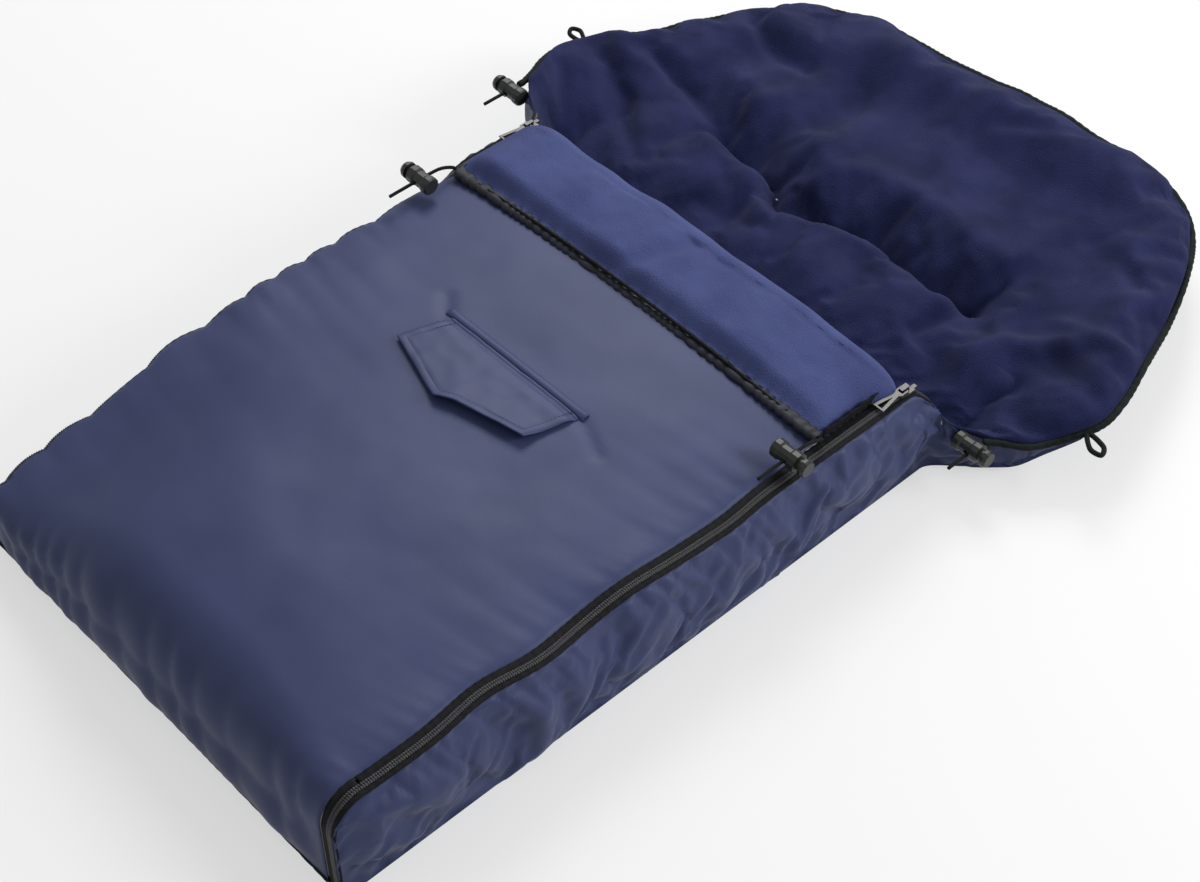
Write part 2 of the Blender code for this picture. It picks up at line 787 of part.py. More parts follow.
def build_cuff():
    """The cuff: the cover's end turned back, so that its fleece is outside, with a gathered hem."""
    columns = cover_columns()
    rows = cuff_rows()

    def thickness(x, y):
        edges = min((y - CUFF_START_Y) / CUFF_ROUNDING, 4 * (FOLD_Y - y) / CUFF_ROUNDING)
        across = max(1 - (x / COVER_HALF_WIDTH) ** 4, 0)
        loft = CUFF_LOFT * across * smooth(edges)
        return CUFF_THICKNESS * (CUFF_EDGE_SHARE + (1 - CUFF_EDGE_SHARE) * smooth(edges)) + loft

    def from_base(height):
        return [[(x, y, cuff_base(x, y) + height) for x in columns] for y in rows]

    def from_top(depth):
        return [
            [(x, y, cuff_base(x, y) + thickness(x, y) - depth) for x in columns]
            for y in rows
        ]

    layer("cuff_shell", "shell_fabric", from_base(SHELL), from_base(0), CUFF_JOINT)
    layer("cuff_wadding", "wadding", from_top(FLEECE + GAP), from_base(SHELL + GAP), CUFF_JOINT)
    layer("cuff_lining", "fleece", from_top(0), from_top(FLEECE), CUFF_JOINT)
    line = hem_points()
    channel("cuff_hem", "binding", line, CUFF_JOINT)

    end = line[-1]
    tail_x = end.x + CUFF_CORD_OUT - TAPE_THICKNESS
    tail_z = end.z + CUFF_CORD_RISE
    tail_end = HEM_Y - CUFF_CORD_TAIL
    turn = curve_through(
        (
            end,
            end + Vector((CUFF_CORD_OUT / 2, 0, GAP)),
            Vector((tail_x - GAP, HEM_Y - CORD_RADIUS, end.z + CUFF_CORD_RISE / 4)),
            Vector((tail_x, HEM_Y - CUFF_LOCK_FROM_HEM / 2, tail_z - CUFF_CORD_RISE / 6)),
            Vector((tail_x, HEM_Y - CUFF_LOCK_FROM_HEM - CORD_RADIUS, tail_z)),
            Vector((tail_x, tail_end, tail_z)),
        ),
        3,
    )
    mirrored = [Vector((-point.x, point.y, point.z)) for point in turn]
    cord("cuff_drawcord", mirrored[::-1] + line[1:-1] + turn, CUFF_JOINT)
    lock_y = HEM_Y - CUFF_LOCK_FROM_HEM - BARREL_RADIUS - CORD_RADIUS
    return {sign: Vector((sign * tail_x, lock_y, tail_z)) for _, sign in SIDES}


def rim_stations(sign):
    """Points on the hood's outline from the hinge to the tip, each with its outward direction.

    Both sides are given at +X.
    """
    start = BAG_HALF_WIDTH + (LEFT_START_OUT if sign < 0 else START_OUT)
    flare = LEFT_START_SHARES if sign < 0 else START_SHARES
    outline = [(start + (HOOD_HALF_WIDTH - start) * wide, along) for wide, along in flare]
    outline += [(HOOD_HALF_WIDTH * wide, along) for wide, along in RIM_SHARES]
    line = [
        Vector((wide, HINGE_Y + GAP + (HOOD_LENGTH - GAP) * along, 0))
        for wide, along in outline
    ]
    stations = []
    for k, point in enumerate(line):
        if k == 0:
            outward = Vector((1, 0, 0))
        elif k == len(line) - 1:
            outward = Vector((0, 1, 0))
        else:
            along = (line[k + 1] - line[k - 1]).normalized()
            outward = Vector((along.y, -along.x, 0))
        stations.append((point, outward))
    return stations


def hood_floor(x, y, rims):
    """Height of the hood's under face: level in the middle and lifted towards the rim."""
    away = HOOD_LENGTH
    sign = -1 if x < 0 else 1
    line = [point for point, _ in rims[sign]] + [Vector((0, TIP_Y, 0))]
    for start, end in zip(line, line[1:]):
        along = end - start
        share = (Vector((abs(x), y, 0)) - start).dot(along) / along.length_squared
        nearest = start + along * min(max(share, 0), 1)
        away = min(away, (Vector((abs(x), y, 0)) - nearest).length)
    opened = smooth((y - HINGE_Y) / WING_START_LENGTH)
    start_width = LEFT_WING_START_WIDTH if x < 0 else WING_START_WIDTH
    start_rise = LEFT_START_RISE_SHARE if x < 0 else START_RISE_SHARE
    wide = start_width + (WING_WIDTH - start_width) * opened
    rise = HOOD_RISE * (start_rise + (1 - start_rise) * opened)
    return rise * (1 - smooth((away - RIM_INSET) / (wide - RIM_INSET)))


def width_at(line, y):
    """Half the width inside an outline at a distance along the hood."""
    for start, end in zip(line, line[1:]):
        if y <= end.y:
            share = (y - start.y) / (end.y - start.y)
            return start.x + (end.x - start.x) * max(share, 0)
    return line[-1].x


def hood_thickness(x, y, half_width):
    """The hood's padding: thin at the rim, puffed in the middle, drawn in along the slots."""
    across = 1 - (abs(x) / half_width) ** 6
    tip = 1 - smooth((y - TIP_Y + TIP_ROUNDING) / (TIP_ROUNDING - RIM_INSET)) ** 2
    valley = math.exp(-(((y - SLOT_Y) / TUFT_WIDTH) ** 2))
    reach = 1 - smooth((abs(x) / TUFT_HALF_LENGTH - 0.75) / 0.5)
    puff = smooth((y - HINGE_Y - TUFT_WIDTH) / (2 * TUFT_WIDTH))
    return HOOD_EDGE + across * tip * (HOOD_CROWN + PUFF * puff - TUFT_DEPTH * valley * reach)


def build_hood():
    """The hood's three layers with its slots, and the binding and drawcord round its rim."""
    rims = {sign: rim_stations(sign) for _, sign in SIDES}
    inside = {
        sign: [point - RIM_INSET * outward for point, outward in stations]
        for sign, stations in rims.items()
    }
    columns = both_sides(HOOD_COLUMN_SHARES)

    def grid(pick):
        points = []
        for corner in inside[1]:
            row = []
            for share in columns:
                half_width = corner.x if share > 0 else width_at(inside[-1], corner.y)
                x = share * half_width
                low = hood_floor(x, corner.y, rims)
                thick = hood_thickness(x, corner.y, half_width)
                row.append((x, corner.y, pick(low, thick)))
            points.append(row)
        return points

    under = SHELL + GAP
    over = FLEECE + GAP
    pieces = [
        layer(
            "hood_shell",
            "shell_fabric",
            grid(lambda low, thick: low + SHELL),
            grid(lambda low, thick: low),
            HOOD_JOINT,
        ),
        layer(
            "hood_wadding",
            "wadding",
            grid(lambda low, thick: low + thick - over),
            grid(lambda low, thick: low + under),
            HOOD_JOINT,
        ),
        layer(
            "hood_lining",
            "fleece",
            grid(lambda low, thick: low + thick),
            grid(lambda low, thick: low + thick - FLEECE),
            HOOD_JOINT,
        ),
    ]
    build_slots(pieces)

    middle = {}
    for sign, stations in rims.items():
        middle[sign] = []
        for (point, outward), corner in zip(stations, inside[sign]):
            place = point - BINDING_RADIUS * outward
            height = hood_floor(sign * corner.x, corner.y, rims) + HOOD_EDGE / 2
            middle[sign].append(Vector((sign * place.x, place.y, height)))
    rim = middle[-1] + middle[1][::-1]
    channel("hood_binding", "binding", rim, HOOD_JOINT)
    tails = {
        sign: [line[0] - Vector((0, CORD_TAIL * share, 0)) for share in spread(1, 0, 4)[:-1]]
        for sign, line in middle.items()
    }
    cord("hood_drawcord", tails[-1] + rim + tails[1][::-1], HOOD_JOINT)
    build_loops(rims, middle)
    return {sign: line[0] - Vector((0, LOCK_FROM_HEM, 0)) for sign, line in middle.items()}


def slot_outline(shrink):
    """A slot with half-round ends, made smaller all round."""
    radius = SLOT_WIDTH / 2 - shrink
    straight = SLOT_LENGTH / 2 - SLOT_WIDTH / 2
    points = []
    for end, first in ((1, -90), (-1, 90)):
        for turn in spread(first, first + 180, 4):
            angle = math.radians(turn)
            points.append((end * straight + radius * math.cos(angle), radius * math.sin(angle)))
    return points


def build_slots(pieces):
    """Two slots for a harness through the hood, each with a stitched lining."""
    for side, sign in SIDES:
        middle = sign * (SLOT_IN + SLOT_LENGTH / 2)
        high = hood_thickness(middle, SLOT_Y, HOOD_HALF_WIDTH)
        place = [(middle + x, SLOT_Y + y) for x, y in slot_outline(0)]
        cutter = tool(solid_outline(place, -OVERRUN, HOOD_RISE + HOOD_RISE), f"slot_cut_{side}")
        for piece in pieces:
            combine(piece, [cutter], "DIFFERENCE")
        outer = [(middle + x, SLOT_Y + y) for x, y in slot_outline(GAP)]
        inner = [(middle + x, SLOT_Y + y) for x, y in slot_outline(GAP + SLOT_LINING)]
        shape = solid_outline(outer, 0, high)
        hole = tool(solid_outline(inner, -OVERRUN, high + OVERRUN), f"slot_hole_{side}")
        name = f"slot_lining_{side}"
        lining = add_object(name, mesh_of(shape, name), "shell_fabric", HOOD_JOINT)
        combine(lining, [hole], "DIFFERENCE")


def build_loops(rims, middle):
    """A cord loop sewn to each side of the binding, for hanging it or tying it on."""
    for (side, sign), place in zip(SIDES, (LOOP_LEFT, LOOP_RIGHT)):
        y = HINGE_Y + place
        stations = rims[sign]
        k = max(index for index, (point, _) in enumerate(stations) if point.y <= y)
        share = (y - stations[k][0].y) / (stations[k + 1][0].y - stations[k][0].y)
        outward = stations[k][1].lerp(stations[k + 1][1], share).normalized()
        base = middle[sign][k].lerp(middle[sign][k + 1], share)
        base.x = abs(base.x)
        base += (BINDING_RADIUS + 3 * GAP) * outward
        along = Vector((-outward.y, outward.x, 0))
        length = (LOOP_REACH - CORD_RADIUS - base.x) / outward.x
        loop = [
            base + length * reach * outward + LOOP_HALF_WIDTH * wide * along
            for reach, wide in LOOP_SHARES
        ]
        points = [Vector((sign * p.x, p.y, p.z)) for p in curve_through(loop, 2)]
        cord(f"hanging_loop_{side}", points, HOOD_JOINT)


def chain_path():
    """The zip's line from the hood down to the floor, as (length so far, y, z, normal y, normal z)."""
    straight_end = SLIDER_Y + SLIDER_LENGTH / 2 + STOP_LENGTH + GAP
    head_end = HINGE_Y - WALL_END_GAP
    inset = ZIP_HEIGHT - CHAIN_Z
    slope_end = Vector((head_end, chain_height(head_end) - inset))
    corner = Vector((straight_end, CHAIN_Z))
    radius = FOOT_BEND - inset
    foot_z = ZIP_HEIGHT - FOOT_BEND
    return {
        "slope_end": slope_end,
        "corner": corner,
        "radius": radius,
        "lengths": (
            (slope_end - corner).length,
            straight_end - BEND_Y,
            radius * math.pi / 2,
            foot_z - GAP,
        ),
    }


def chain_place(path, length):
    """The place and the outward normal at a length along the zip, in Y and Z."""
    slope, straight, arc, drop = path["lengths"]
    if length <= slope:
        return path["slope_end"].lerp(path["corner"], length / slope), Vector((0, 1))
    length -= slope
    if length <= straight:
        return path["corner"] - Vector((length, 0)), Vector((0, 1))
    length -= straight
    middle = Vector((BEND_Y, ZIP_HEIGHT - FOOT_BEND))
    if length <= arc:
        turn = length / path["radius"]
        outward = Vector((-math.sin(turn), math.cos(turn)))
        return middle + path["radius"] * outward, outward
    length -= arc
    return middle + Vector((-path["radius"], -min(length, drop))), Vector((-1, 0))


def toothed_tape(name, path, first, last, seam, root, tip, half, joint):
    """Half a zip between two lengths: a tape whose inner edge has teeth, offset by half a pitch."""
    base = TOOTH_PITCH * TOOTH_BASE_SHARE / 2
    point = TOOTH_PITCH * TOOTH_TIP_SHARE / 2
    stations = [(first, root), (last, root)]
    middle = TOOTH_PITCH * (1 + half / 2)
    while middle + base < last:
        if middle - base > first:
            stations += [(middle - base, root), (middle - point, tip)]
            stations += [(middle + point, tip), (middle + base, root)]
        middle += TOOTH_PITCH
    stations.sort(key=lambda station: station[0])
    corner = path["lengths"][0]
    if first < corner < last:
        k = sum(length < corner for length, _ in stations)
        (start, wide), (end, narrow) = stations[k - 1], stations[k]
        share = (corner - start) / (end - start)
        stations.insert(k, (corner, wide + (narrow - wide) * share))
    shape = bmesh.new()
    rings = []
    for length, inner in stations:
        place, normal = chain_place(path, length)
        ring = []
        for x, side in ((seam, 1), (inner, 1), (inner, -1), (seam, -1)):
            y, z = place + side * TAPE_THICKNESS / 2 * normal
            ring.append(shape.verts.new((x, y, z)))
        rings.append(ring)
    for ring, after in zip(rings, rings[1:]):
        for k in range(4):
            shape.faces.new((ring[k], ring[(k + 1) % 4], after[(k + 1) % 4], after[k]))
    shape.faces.new(rings[0])
    shape.faces.new(rings[-1])
    bmesh.ops.recalc_face_normals(shape, faces=shape.faces[:])
    bmesh.ops.dissolve_limit(
        shape, angle_limit=math.radians(0.5), verts=shape.verts[:], edges=shape.edges[:]
    )
    return add_object(name, mesh_of(shape, name), "zip_tape", joint)


def build_zips():
    """Both zips: a half on each wall, and a half on the cover, on the foot end and on the cuff."""
    path = chain_path()
    slope, straight, arc, drop = path["lengths"]
    whole = slope + straight + arc + drop
    fold_start = slope + path["corner"].x - FOLD_Y + GAP
    bend_start = slope + straight
    for side, sign in SIDES:
        outer = (sign * BAG_HALF_WIDTH, sign * (CHAIN_X + TOOTH_ROOT), sign * (CHAIN_X - TOOTH_REACH))
        inner = (
            sign * (CHAIN_X - TAPE_WIDTH),
            sign * (CHAIN_X - TOOTH_ROOT),
            sign * (CHAIN_X + TOOTH_REACH),
        )
        toothed_tape(f"zip_tape_wall_{side}", path, 0, whole, *outer, 0, None)
        toothed_tape(
            f"zip_tape_cover_{side}", path, fold_start, bend_start - GAP, *inner, 1, COVER_JOINT
        )
        toothed_tape(f"zip_tape_foot_{side}", path, bend_start + GAP, whole, *inner, 1, FOOT_JOINT)
        build_cuff_tape(side, sign)
        stop_y = path["corner"].x - STOP_LENGTH / 2
        stop = solid_outline(
            box_outline(STOP_WIDTH, STOP_LENGTH, sign * (CHAIN_X + TOOTH_ROOT), stop_y),
            CHAIN_Z + TAPE_THICKNESS / 2 + GAP,
            CHAIN_Z + TAPE_THICKNESS / 2 + GAP + STOP_THICKNESS,
        )
        name = f"zip_stop_{side}"
        add_object(name, mesh_of(stop, name), "silver_metal")


def build_cuff_tape(side, sign):
    """The cover's half of the zip where it turns back along the cuff's side, standing on edge."""
    start = CUFF_START_Y
    end = FOLD_Y - GAP
    low = ZIP_HEIGHT + GAP
    high = low + CUFF_TAPE_HEIGHT
    outline = [(end, low), (start, low)]
    place = start
    tooth = TOOTH_PITCH * TOOTH_TIP_SHARE
    while place + TOOTH_PITCH < end:
        outline += [(place + tooth / 2, high - TOOTH_ROOT), (place + tooth, high)]
        outline += [(place + 2 * tooth, high), (place + TOOTH_PITCH * 0.9, high - TOOTH_ROOT)]
        place += TOOTH_PITCH
    outline += [(end, high - TOOTH_ROOT)]
    shape = bmesh.new()
    faces = []
    for depth in (GAP, GAP + TAPE_THICKNESS / 2):
        x = sign * (COVER_HALF_WIDTH + depth)
        faces.append([shape.verts.new((x, y, z)) for y, z in outline])
        shape.faces.new(faces[-1])
    for k in range(len(outline)):
        after = (k + 1) % len(outline)
        shape.faces.new((faces[0][k], faces[0][after], faces[1][after], faces[1][k]))
    name = f"zip_tape_cuff_{side}"
    add_object(name, mesh_of(shape, name), "zip_tape", CUFF_JOINT)


def slider_mesh(outside):
    """A slider round its chain: two plates with lips, a post between them and a bail on top."""
    half = SLIDER_LENGTH / 2
    wide = SLIDER_WIDTH / 2
    neck = SLIDER_NECK / 2
    channel_half = SLIDER_CHANNEL / 2
    outer = channel_half + SLIDER_PLATE
    outline = [(-neck, -half), (neck, -half), (wide, 0), (wide, half), (0, half - SLIDER_LIP)]
    outline += [(-wide, half), (-wide, 0)]
    post_y = half - POST_LENGTH / 2 - SLIDER_LIP
    post = box_outline(POST_WIDTH, POST_LENGTH, -outside * POST_OFFSET, post_y)
    overlap = SLIDER_PLATE / 2
    joined = [
        solid_outline(outline, -outer, -channel_half),
        solid_outline(post, -channel_half - overlap, channel_half + overlap),
    ]
    lip_low = TAPE_THICKNESS / 2 + GAP
    for sign in (-1, 1):
        lip = box_outline(SLIDER_LIP, half, sign * (wide - SLIDER_LIP / 2), half / 2)
        joined.append(solid_outline(lip, lip_low, channel_half + overlap))
        joined.append(solid_outline(lip, -channel_half - overlap, -lip_low))
    top = outer + BAIL_HEIGHT
    for sign in (-1, 1):
        leg = box_outline(BAIL_WIDTH, BAIL_BAR, 0, sign * (BAIL_LENGTH - BAIL_BAR) / 2)
        joined.append(solid_outline(leg, outer - overlap, top))
    joined.append(solid_outline(box_outline(BAIL_WIDTH, BAIL_LENGTH), top - BAIL_BAR, top))
    return finished_mesh(solid_outline(outline, channel_half, outer), "slider_shape", joined)


def pull_mesh():
    """A pull tab: an eye round the slider's bail, a waist and a flared end with a triangular hole."""
    eye = PULL_EYE_WIDTH / 2
    waist = PULL_WAIST / 2
    flare = PULL_FLARE / 2
    end = -PULL_LENGTH + PULL_BAR
    neck = -PULL_EYE_LENGTH + PULL_BAR
    outline = [(eye, PULL_BAR), (-eye, PULL_BAR), (-eye, neck), (-waist, neck - PULL_WAIST / 2)]
    outline += [(-flare, end), (flare, end), (waist, neck - PULL_WAIST / 2), (eye, neck)]
    window = [(BAIL_WIDTH / 2 + BAIL_BAR * sign, y) for sign, y in ((1, -PULL_BAR), (1, neck + PULL_RIM))]
    window += [(-x, y) for x, y in reversed(window)]
    hole = [(0, neck - PULL_WAIST - PULL_RIM), (-flare + 2 * PULL_RIM, end + PULL_RIM)]
    hole += [(flare - 2 * PULL_RIM, end + PULL_RIM)]
    half = PULL_THICKNESS / 2
    cuts = [solid_outline(shape, -half - OVERRUN, half + OVERRUN) for shape in (window, hole)]
    return finished_mesh(solid_outline(outline, -half, half), "pull_shape", (), cuts)


def build_sliders():
    """Both sliders at the fold, with their pulls lying towards the foot."""
    tab = pull_mesh()
    bar_z = CHAIN_Z + SLIDER_CHANNEL / 2 + SLIDER_PLATE + BAIL_HEIGHT - BAIL_BAR - PULL_BAR - GAP
    for side, sign in SIDES:
        place = (sign * CHAIN_X, SLIDER_Y, CHAIN_Z)
        joint = joint_empty(f"slider_joint_{side}", place)
        copy_at(f"slider_{side}", slider_mesh(sign), "silver_metal", place, joint)
        place = (sign * CHAIN_X, SLIDER_Y, bar_z)
        pull_joint = joint_empty(f"pull_joint_{side}", place, joint)
        copy_at(f"pull_{side}", tab, "silver_metal", place, pull_joint)


def lock_meshes():
    """A cord lock's barrel, plunger and spring. The lock's axis is X and its cord runs along Y."""
    mouth = BARREL_LENGTH
    cord_at = BARREL_FLOOR + GAP + SPRING_LENGTH + GAP + PLUNGER_END + GAP + CORD_RADIUS
    profile = [
        (0, 0),
        (BARREL_RADIUS - BARREL_LIP, 0),
        (BARREL_RADIUS, BARREL_LIP),
        (BARREL_RADIUS, BARREL_LENGTH / 4),
        (BARREL_WAIST, BARREL_LENGTH / 3),
        (BARREL_WAIST, mouth - BARREL_LENGTH / 3),
        (BARREL_RADIUS, mouth - BARREL_LENGTH / 4),
        (BARREL_RADIUS, mouth),
        (BARREL_BORE, mouth),
        (BARREL_BORE, BARREL_FLOOR),
        (0, BARREL_FLOOR),
    ]
    profile = [(radius, place - cord_at) for radius, place in profile]
    hole_end = BARREL_RADIUS + OVERRUN
    hole = round_bar(CORD_HOLE, -hole_end, hole_end, 8, (0, 0))
    barrel = finished_mesh(revolved(profile, LOCK_SIDES), "lock_barrel", (), [hole])

    foot = BARREL_FLOOR + GAP + SPRING_LENGTH + GAP - cord_at
    cap = mouth + PRESS_TRAVEL + GAP - cord_at
    profile = [
        (0, foot),
        (PLUNGER_RADIUS, foot),
        (PLUNGER_RADIUS, cap),
        (CAP_RADIUS, cap),
        (CAP_RADIUS, cap + CAP_LENGTH / 2),
        (CAP_RADIUS - BARREL_LIP, cap + CAP_LENGTH),
        (0, cap + CAP_LENGTH),
    ]
    eye_start = -CORD_RADIUS - GAP
    eye_end = CORD_RADIUS + PRESS_TRAVEL + GAP
    eye_half = CORD_RADIUS + GAP
    eye = solid_outline(
        box_outline(eye_end - eye_start, 2 * hole_end, (eye_start + eye_end) / 2),
        -eye_half,
        eye_half,
    )
    plunger = finished_mesh(revolved(profile, LOCK_SIDES), "lock_plunger", (), [eye])

    data = bpy.data.curves.new("lock_spring", "CURVE")
    data.dimensions = "3D"
    data.bevel_depth = SPRING_WIRE
    data.bevel_resolution = 0
    data.use_fill_caps = True
    steps = SPRING_TURNS * CORD_POINTS
    start = BARREL_FLOOR + GAP + SPRING_WIRE - cord_at
    rise = (SPRING_LENGTH - 2 * SPRING_WIRE) / steps
    run = data.splines.new("POLY")
    run.points.add(steps)
    for step in range(steps + 1):
        angle = 2 * math.pi * step / CORD_POINTS
        y = SPRING_RADIUS * math.cos(angle)
        z = SPRING_RADIUS * math.sin(angle)
        run.points[step].co = (start + rise * step, y, z, 1)
    return barrel, plunger, data


def build_lock(name, meshes, place, carrier):
    """One cord lock on its cord, with its plunger pointing outwards."""
    barrel, plunger, spring = meshes
    turned = 0.0 if place.x > 0 else math.pi
    joint = joint_empty(f"{name}_joint", place, carrier)
    copy_at(f"{name}_barrel", barrel, "toggle_plastic", place, joint, turned)
    copy_at(f"{name}_spring", spring, "spring_steel", place, joint, turned)
    press = joint_empty(f"{name}_press_joint", place, joint)
    copy_at(f"{name}_plunger", plunger, "toggle_plastic", place, press, turned)


build_back()
build_walls()
build_foot()
build_cover()
build_pocket()
CUFF_LOCK_PLACES = build_cuff()
HOOD_LOCK_PLACES = build_hood()
build_zips()
build_sliders()
LOCK_MESHES = lock_meshes()
for lock_side, lock_sign in SIDES:
    build_lock(f"cuff_lock_{lock_side}", LOCK_MESHES, CUFF_LOCK_PLACES[lock_sign], CUFF_JOINT)
    build_lock(f"hood_lock_{lock_side}", LOCK_MESHES, HOOD_LOCK_PLACES[lock_sign], HOOD_JOINT)
bpy.context.view_layer.update()
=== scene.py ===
"""A studio picture of a navy stroller footmuff that lies on a pale floor, seen from its foot end's right."""

import json
import math

import bmesh
import bpy
import numpy as np
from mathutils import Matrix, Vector

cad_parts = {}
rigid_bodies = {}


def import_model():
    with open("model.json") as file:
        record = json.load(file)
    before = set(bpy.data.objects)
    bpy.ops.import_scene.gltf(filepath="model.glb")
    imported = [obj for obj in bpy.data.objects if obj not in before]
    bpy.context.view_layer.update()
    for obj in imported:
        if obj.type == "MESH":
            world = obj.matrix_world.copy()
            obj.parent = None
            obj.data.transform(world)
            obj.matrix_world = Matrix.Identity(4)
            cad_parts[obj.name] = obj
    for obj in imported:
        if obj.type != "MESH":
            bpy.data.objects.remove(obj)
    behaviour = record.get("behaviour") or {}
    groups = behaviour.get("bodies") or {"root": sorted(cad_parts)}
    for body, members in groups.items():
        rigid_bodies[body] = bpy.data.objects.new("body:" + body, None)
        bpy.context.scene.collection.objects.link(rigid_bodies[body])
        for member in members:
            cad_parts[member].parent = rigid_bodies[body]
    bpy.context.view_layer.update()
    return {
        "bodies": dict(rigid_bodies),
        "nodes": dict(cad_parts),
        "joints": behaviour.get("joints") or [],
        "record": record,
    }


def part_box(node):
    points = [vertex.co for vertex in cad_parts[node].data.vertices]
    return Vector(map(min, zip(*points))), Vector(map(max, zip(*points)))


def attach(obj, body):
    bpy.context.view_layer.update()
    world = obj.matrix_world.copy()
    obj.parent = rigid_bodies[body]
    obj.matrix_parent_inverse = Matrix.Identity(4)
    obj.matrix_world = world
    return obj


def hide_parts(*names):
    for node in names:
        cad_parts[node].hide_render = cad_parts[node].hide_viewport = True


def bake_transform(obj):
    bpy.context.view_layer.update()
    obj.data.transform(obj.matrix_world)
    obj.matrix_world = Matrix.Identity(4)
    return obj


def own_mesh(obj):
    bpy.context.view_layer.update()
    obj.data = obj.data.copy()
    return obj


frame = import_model()


# Places taken from the frame
def low(node, axis):
    """The lowest place of a node along an axis."""
    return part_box(node)[0][axis]


def high(node, axis):
    """The highest place of a node along an axis."""
    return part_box(node)[1][axis]


def centre(node, axis):
    """The middle of a node along an axis."""
    return (low(node, axis) + high(node, axis)) / 2


X, Y, Z = 0, 1, 2
FOOT_Y = low("foot_shell", Y)
BEND_Y = low("cover_shell", Y)
FOLD_Y = high("cover_shell", Y)
HINGE_Y = low("hood_shell", Y)
TIP_Y = high("hood_binding", Y)
ZIP_Z = high("foot_shell", Z)
BAG_X = high("zip_tape_wall_right", X)
PAD_X = high("back_lining", X)
COVER_X = high("cover_shell", X)
CHAIN_X = centre("slider_right", X)
HEM_Y = centre("cuff_hem", Y)
POCKET_Y = high("pocket_flap", Y)
POCKET_X = high("pocket_flap", X)
FLAP_LOW_Y = low("pocket_flap", Y)
HOOD_X = high("hood_binding", X)
HOOD_LENGTH = TIP_Y - HINGE_Y

# Where the bag's straight zips end, where the bag turns into the hood, and how far down the zips' bend goes
STRAIGHT_END = 0.082
BAG_END = 0.100
BEND_DROP = 0.030

# Cloth sizes
GAP = 0.0003
FLEECE = 0.0022
BACK_EDGE = 0.018
BACK_CROWN = 0.012
COVER_CROWN = 0.0115
COVER_EDGE = 0.0085
COVER_LOFT = 0.0085
CORNER_RADIUS = 0.030
MIDDLE_RADIUS = 0.052
COVER_ROUNDING = 0.110
FOLD_CROWN_SHARE = 0.40
SLIT_WIDTH = 0.0034
HOOD_EDGE = 0.0070
HOOD_CROWN = 0.025
BINDING = 0.0023
CORD_RADIUS = 0.0015
LOOP_RADIUS = 0.0021
LOOP_HALF_WIDTH = 0.0052
LOOP_SHARES = ((0.1, -0.3), (0.4, -0.8), (0.75, -1), (1, 0), (0.75, 1), (0.4, 0.8), (0.1, 0.3))
BUCKLE_FRAMES = 22
STITCHES_IN = 0.0065
COIL_STEP = 0.00046
TOOTH_PITCH = 0.0019
TAIL_LENGTH = 0.040

# The hood's raised edge: its height and width, and its width and share of that height where each side starts
HOOD_RISE = 0.048
WING_WIDTH = 0.100
WING_STARTS = {-1: (0.0553, 1.5), 1: (0.032, 0.75)}
WING_START_LENGTH = 0.110

# Shares of the bag's cloth on each side of its middle: what lies flat, and what stands up as a wall
FLAT_SHARE = 0.8
WALL_SHARE = 0.2

# How far from its ends and from its hinge the body's cloth has closer points
CLOSE_ROWS = 0.03

SIDES = (("left", -1), ("right", 1))

# Start of the hood's outline on each side: its distance from the middle and its share of the length
STARTS = {
    -1: ((0.2853, 0.000), (0.2863, 0.022), (0.2932, 0.066), (0.3059, 0.128)),
    1: ((0.2612, 0.000), (0.2690, 0.025), (0.2855, 0.062), (0.2975, 0.112)),
}

# The rest of it, as shares of the hood's half width and of its length
RIM_SHARES = (
    (1.000, 0.205),
    (0.998, 0.290),
    (0.956, 0.414),
    (0.886, 0.600),
    (0.814, 0.743),
    (0.726, 0.871),
    (0.618, 0.949),
    (0.473, 0.988),
    (0.284, 1.000),
    (0.000, 1.000),
)

# The seam across the hood, from the left to the right, which runs through both harness slots
VALLEY = (
    (-0.158, 0.247),
    (-0.136, 0.2415),
    (-0.072, 0.2375),
    (-0.058, 0.222),
    (-0.040, 0.216),
    (-0.022, 0.224),
    (0.001, 0.234),
    (0.041, 0.242),
    (0.072, 0.2385),
    (0.136, 0.2400),
    (0.150, 0.243),
)

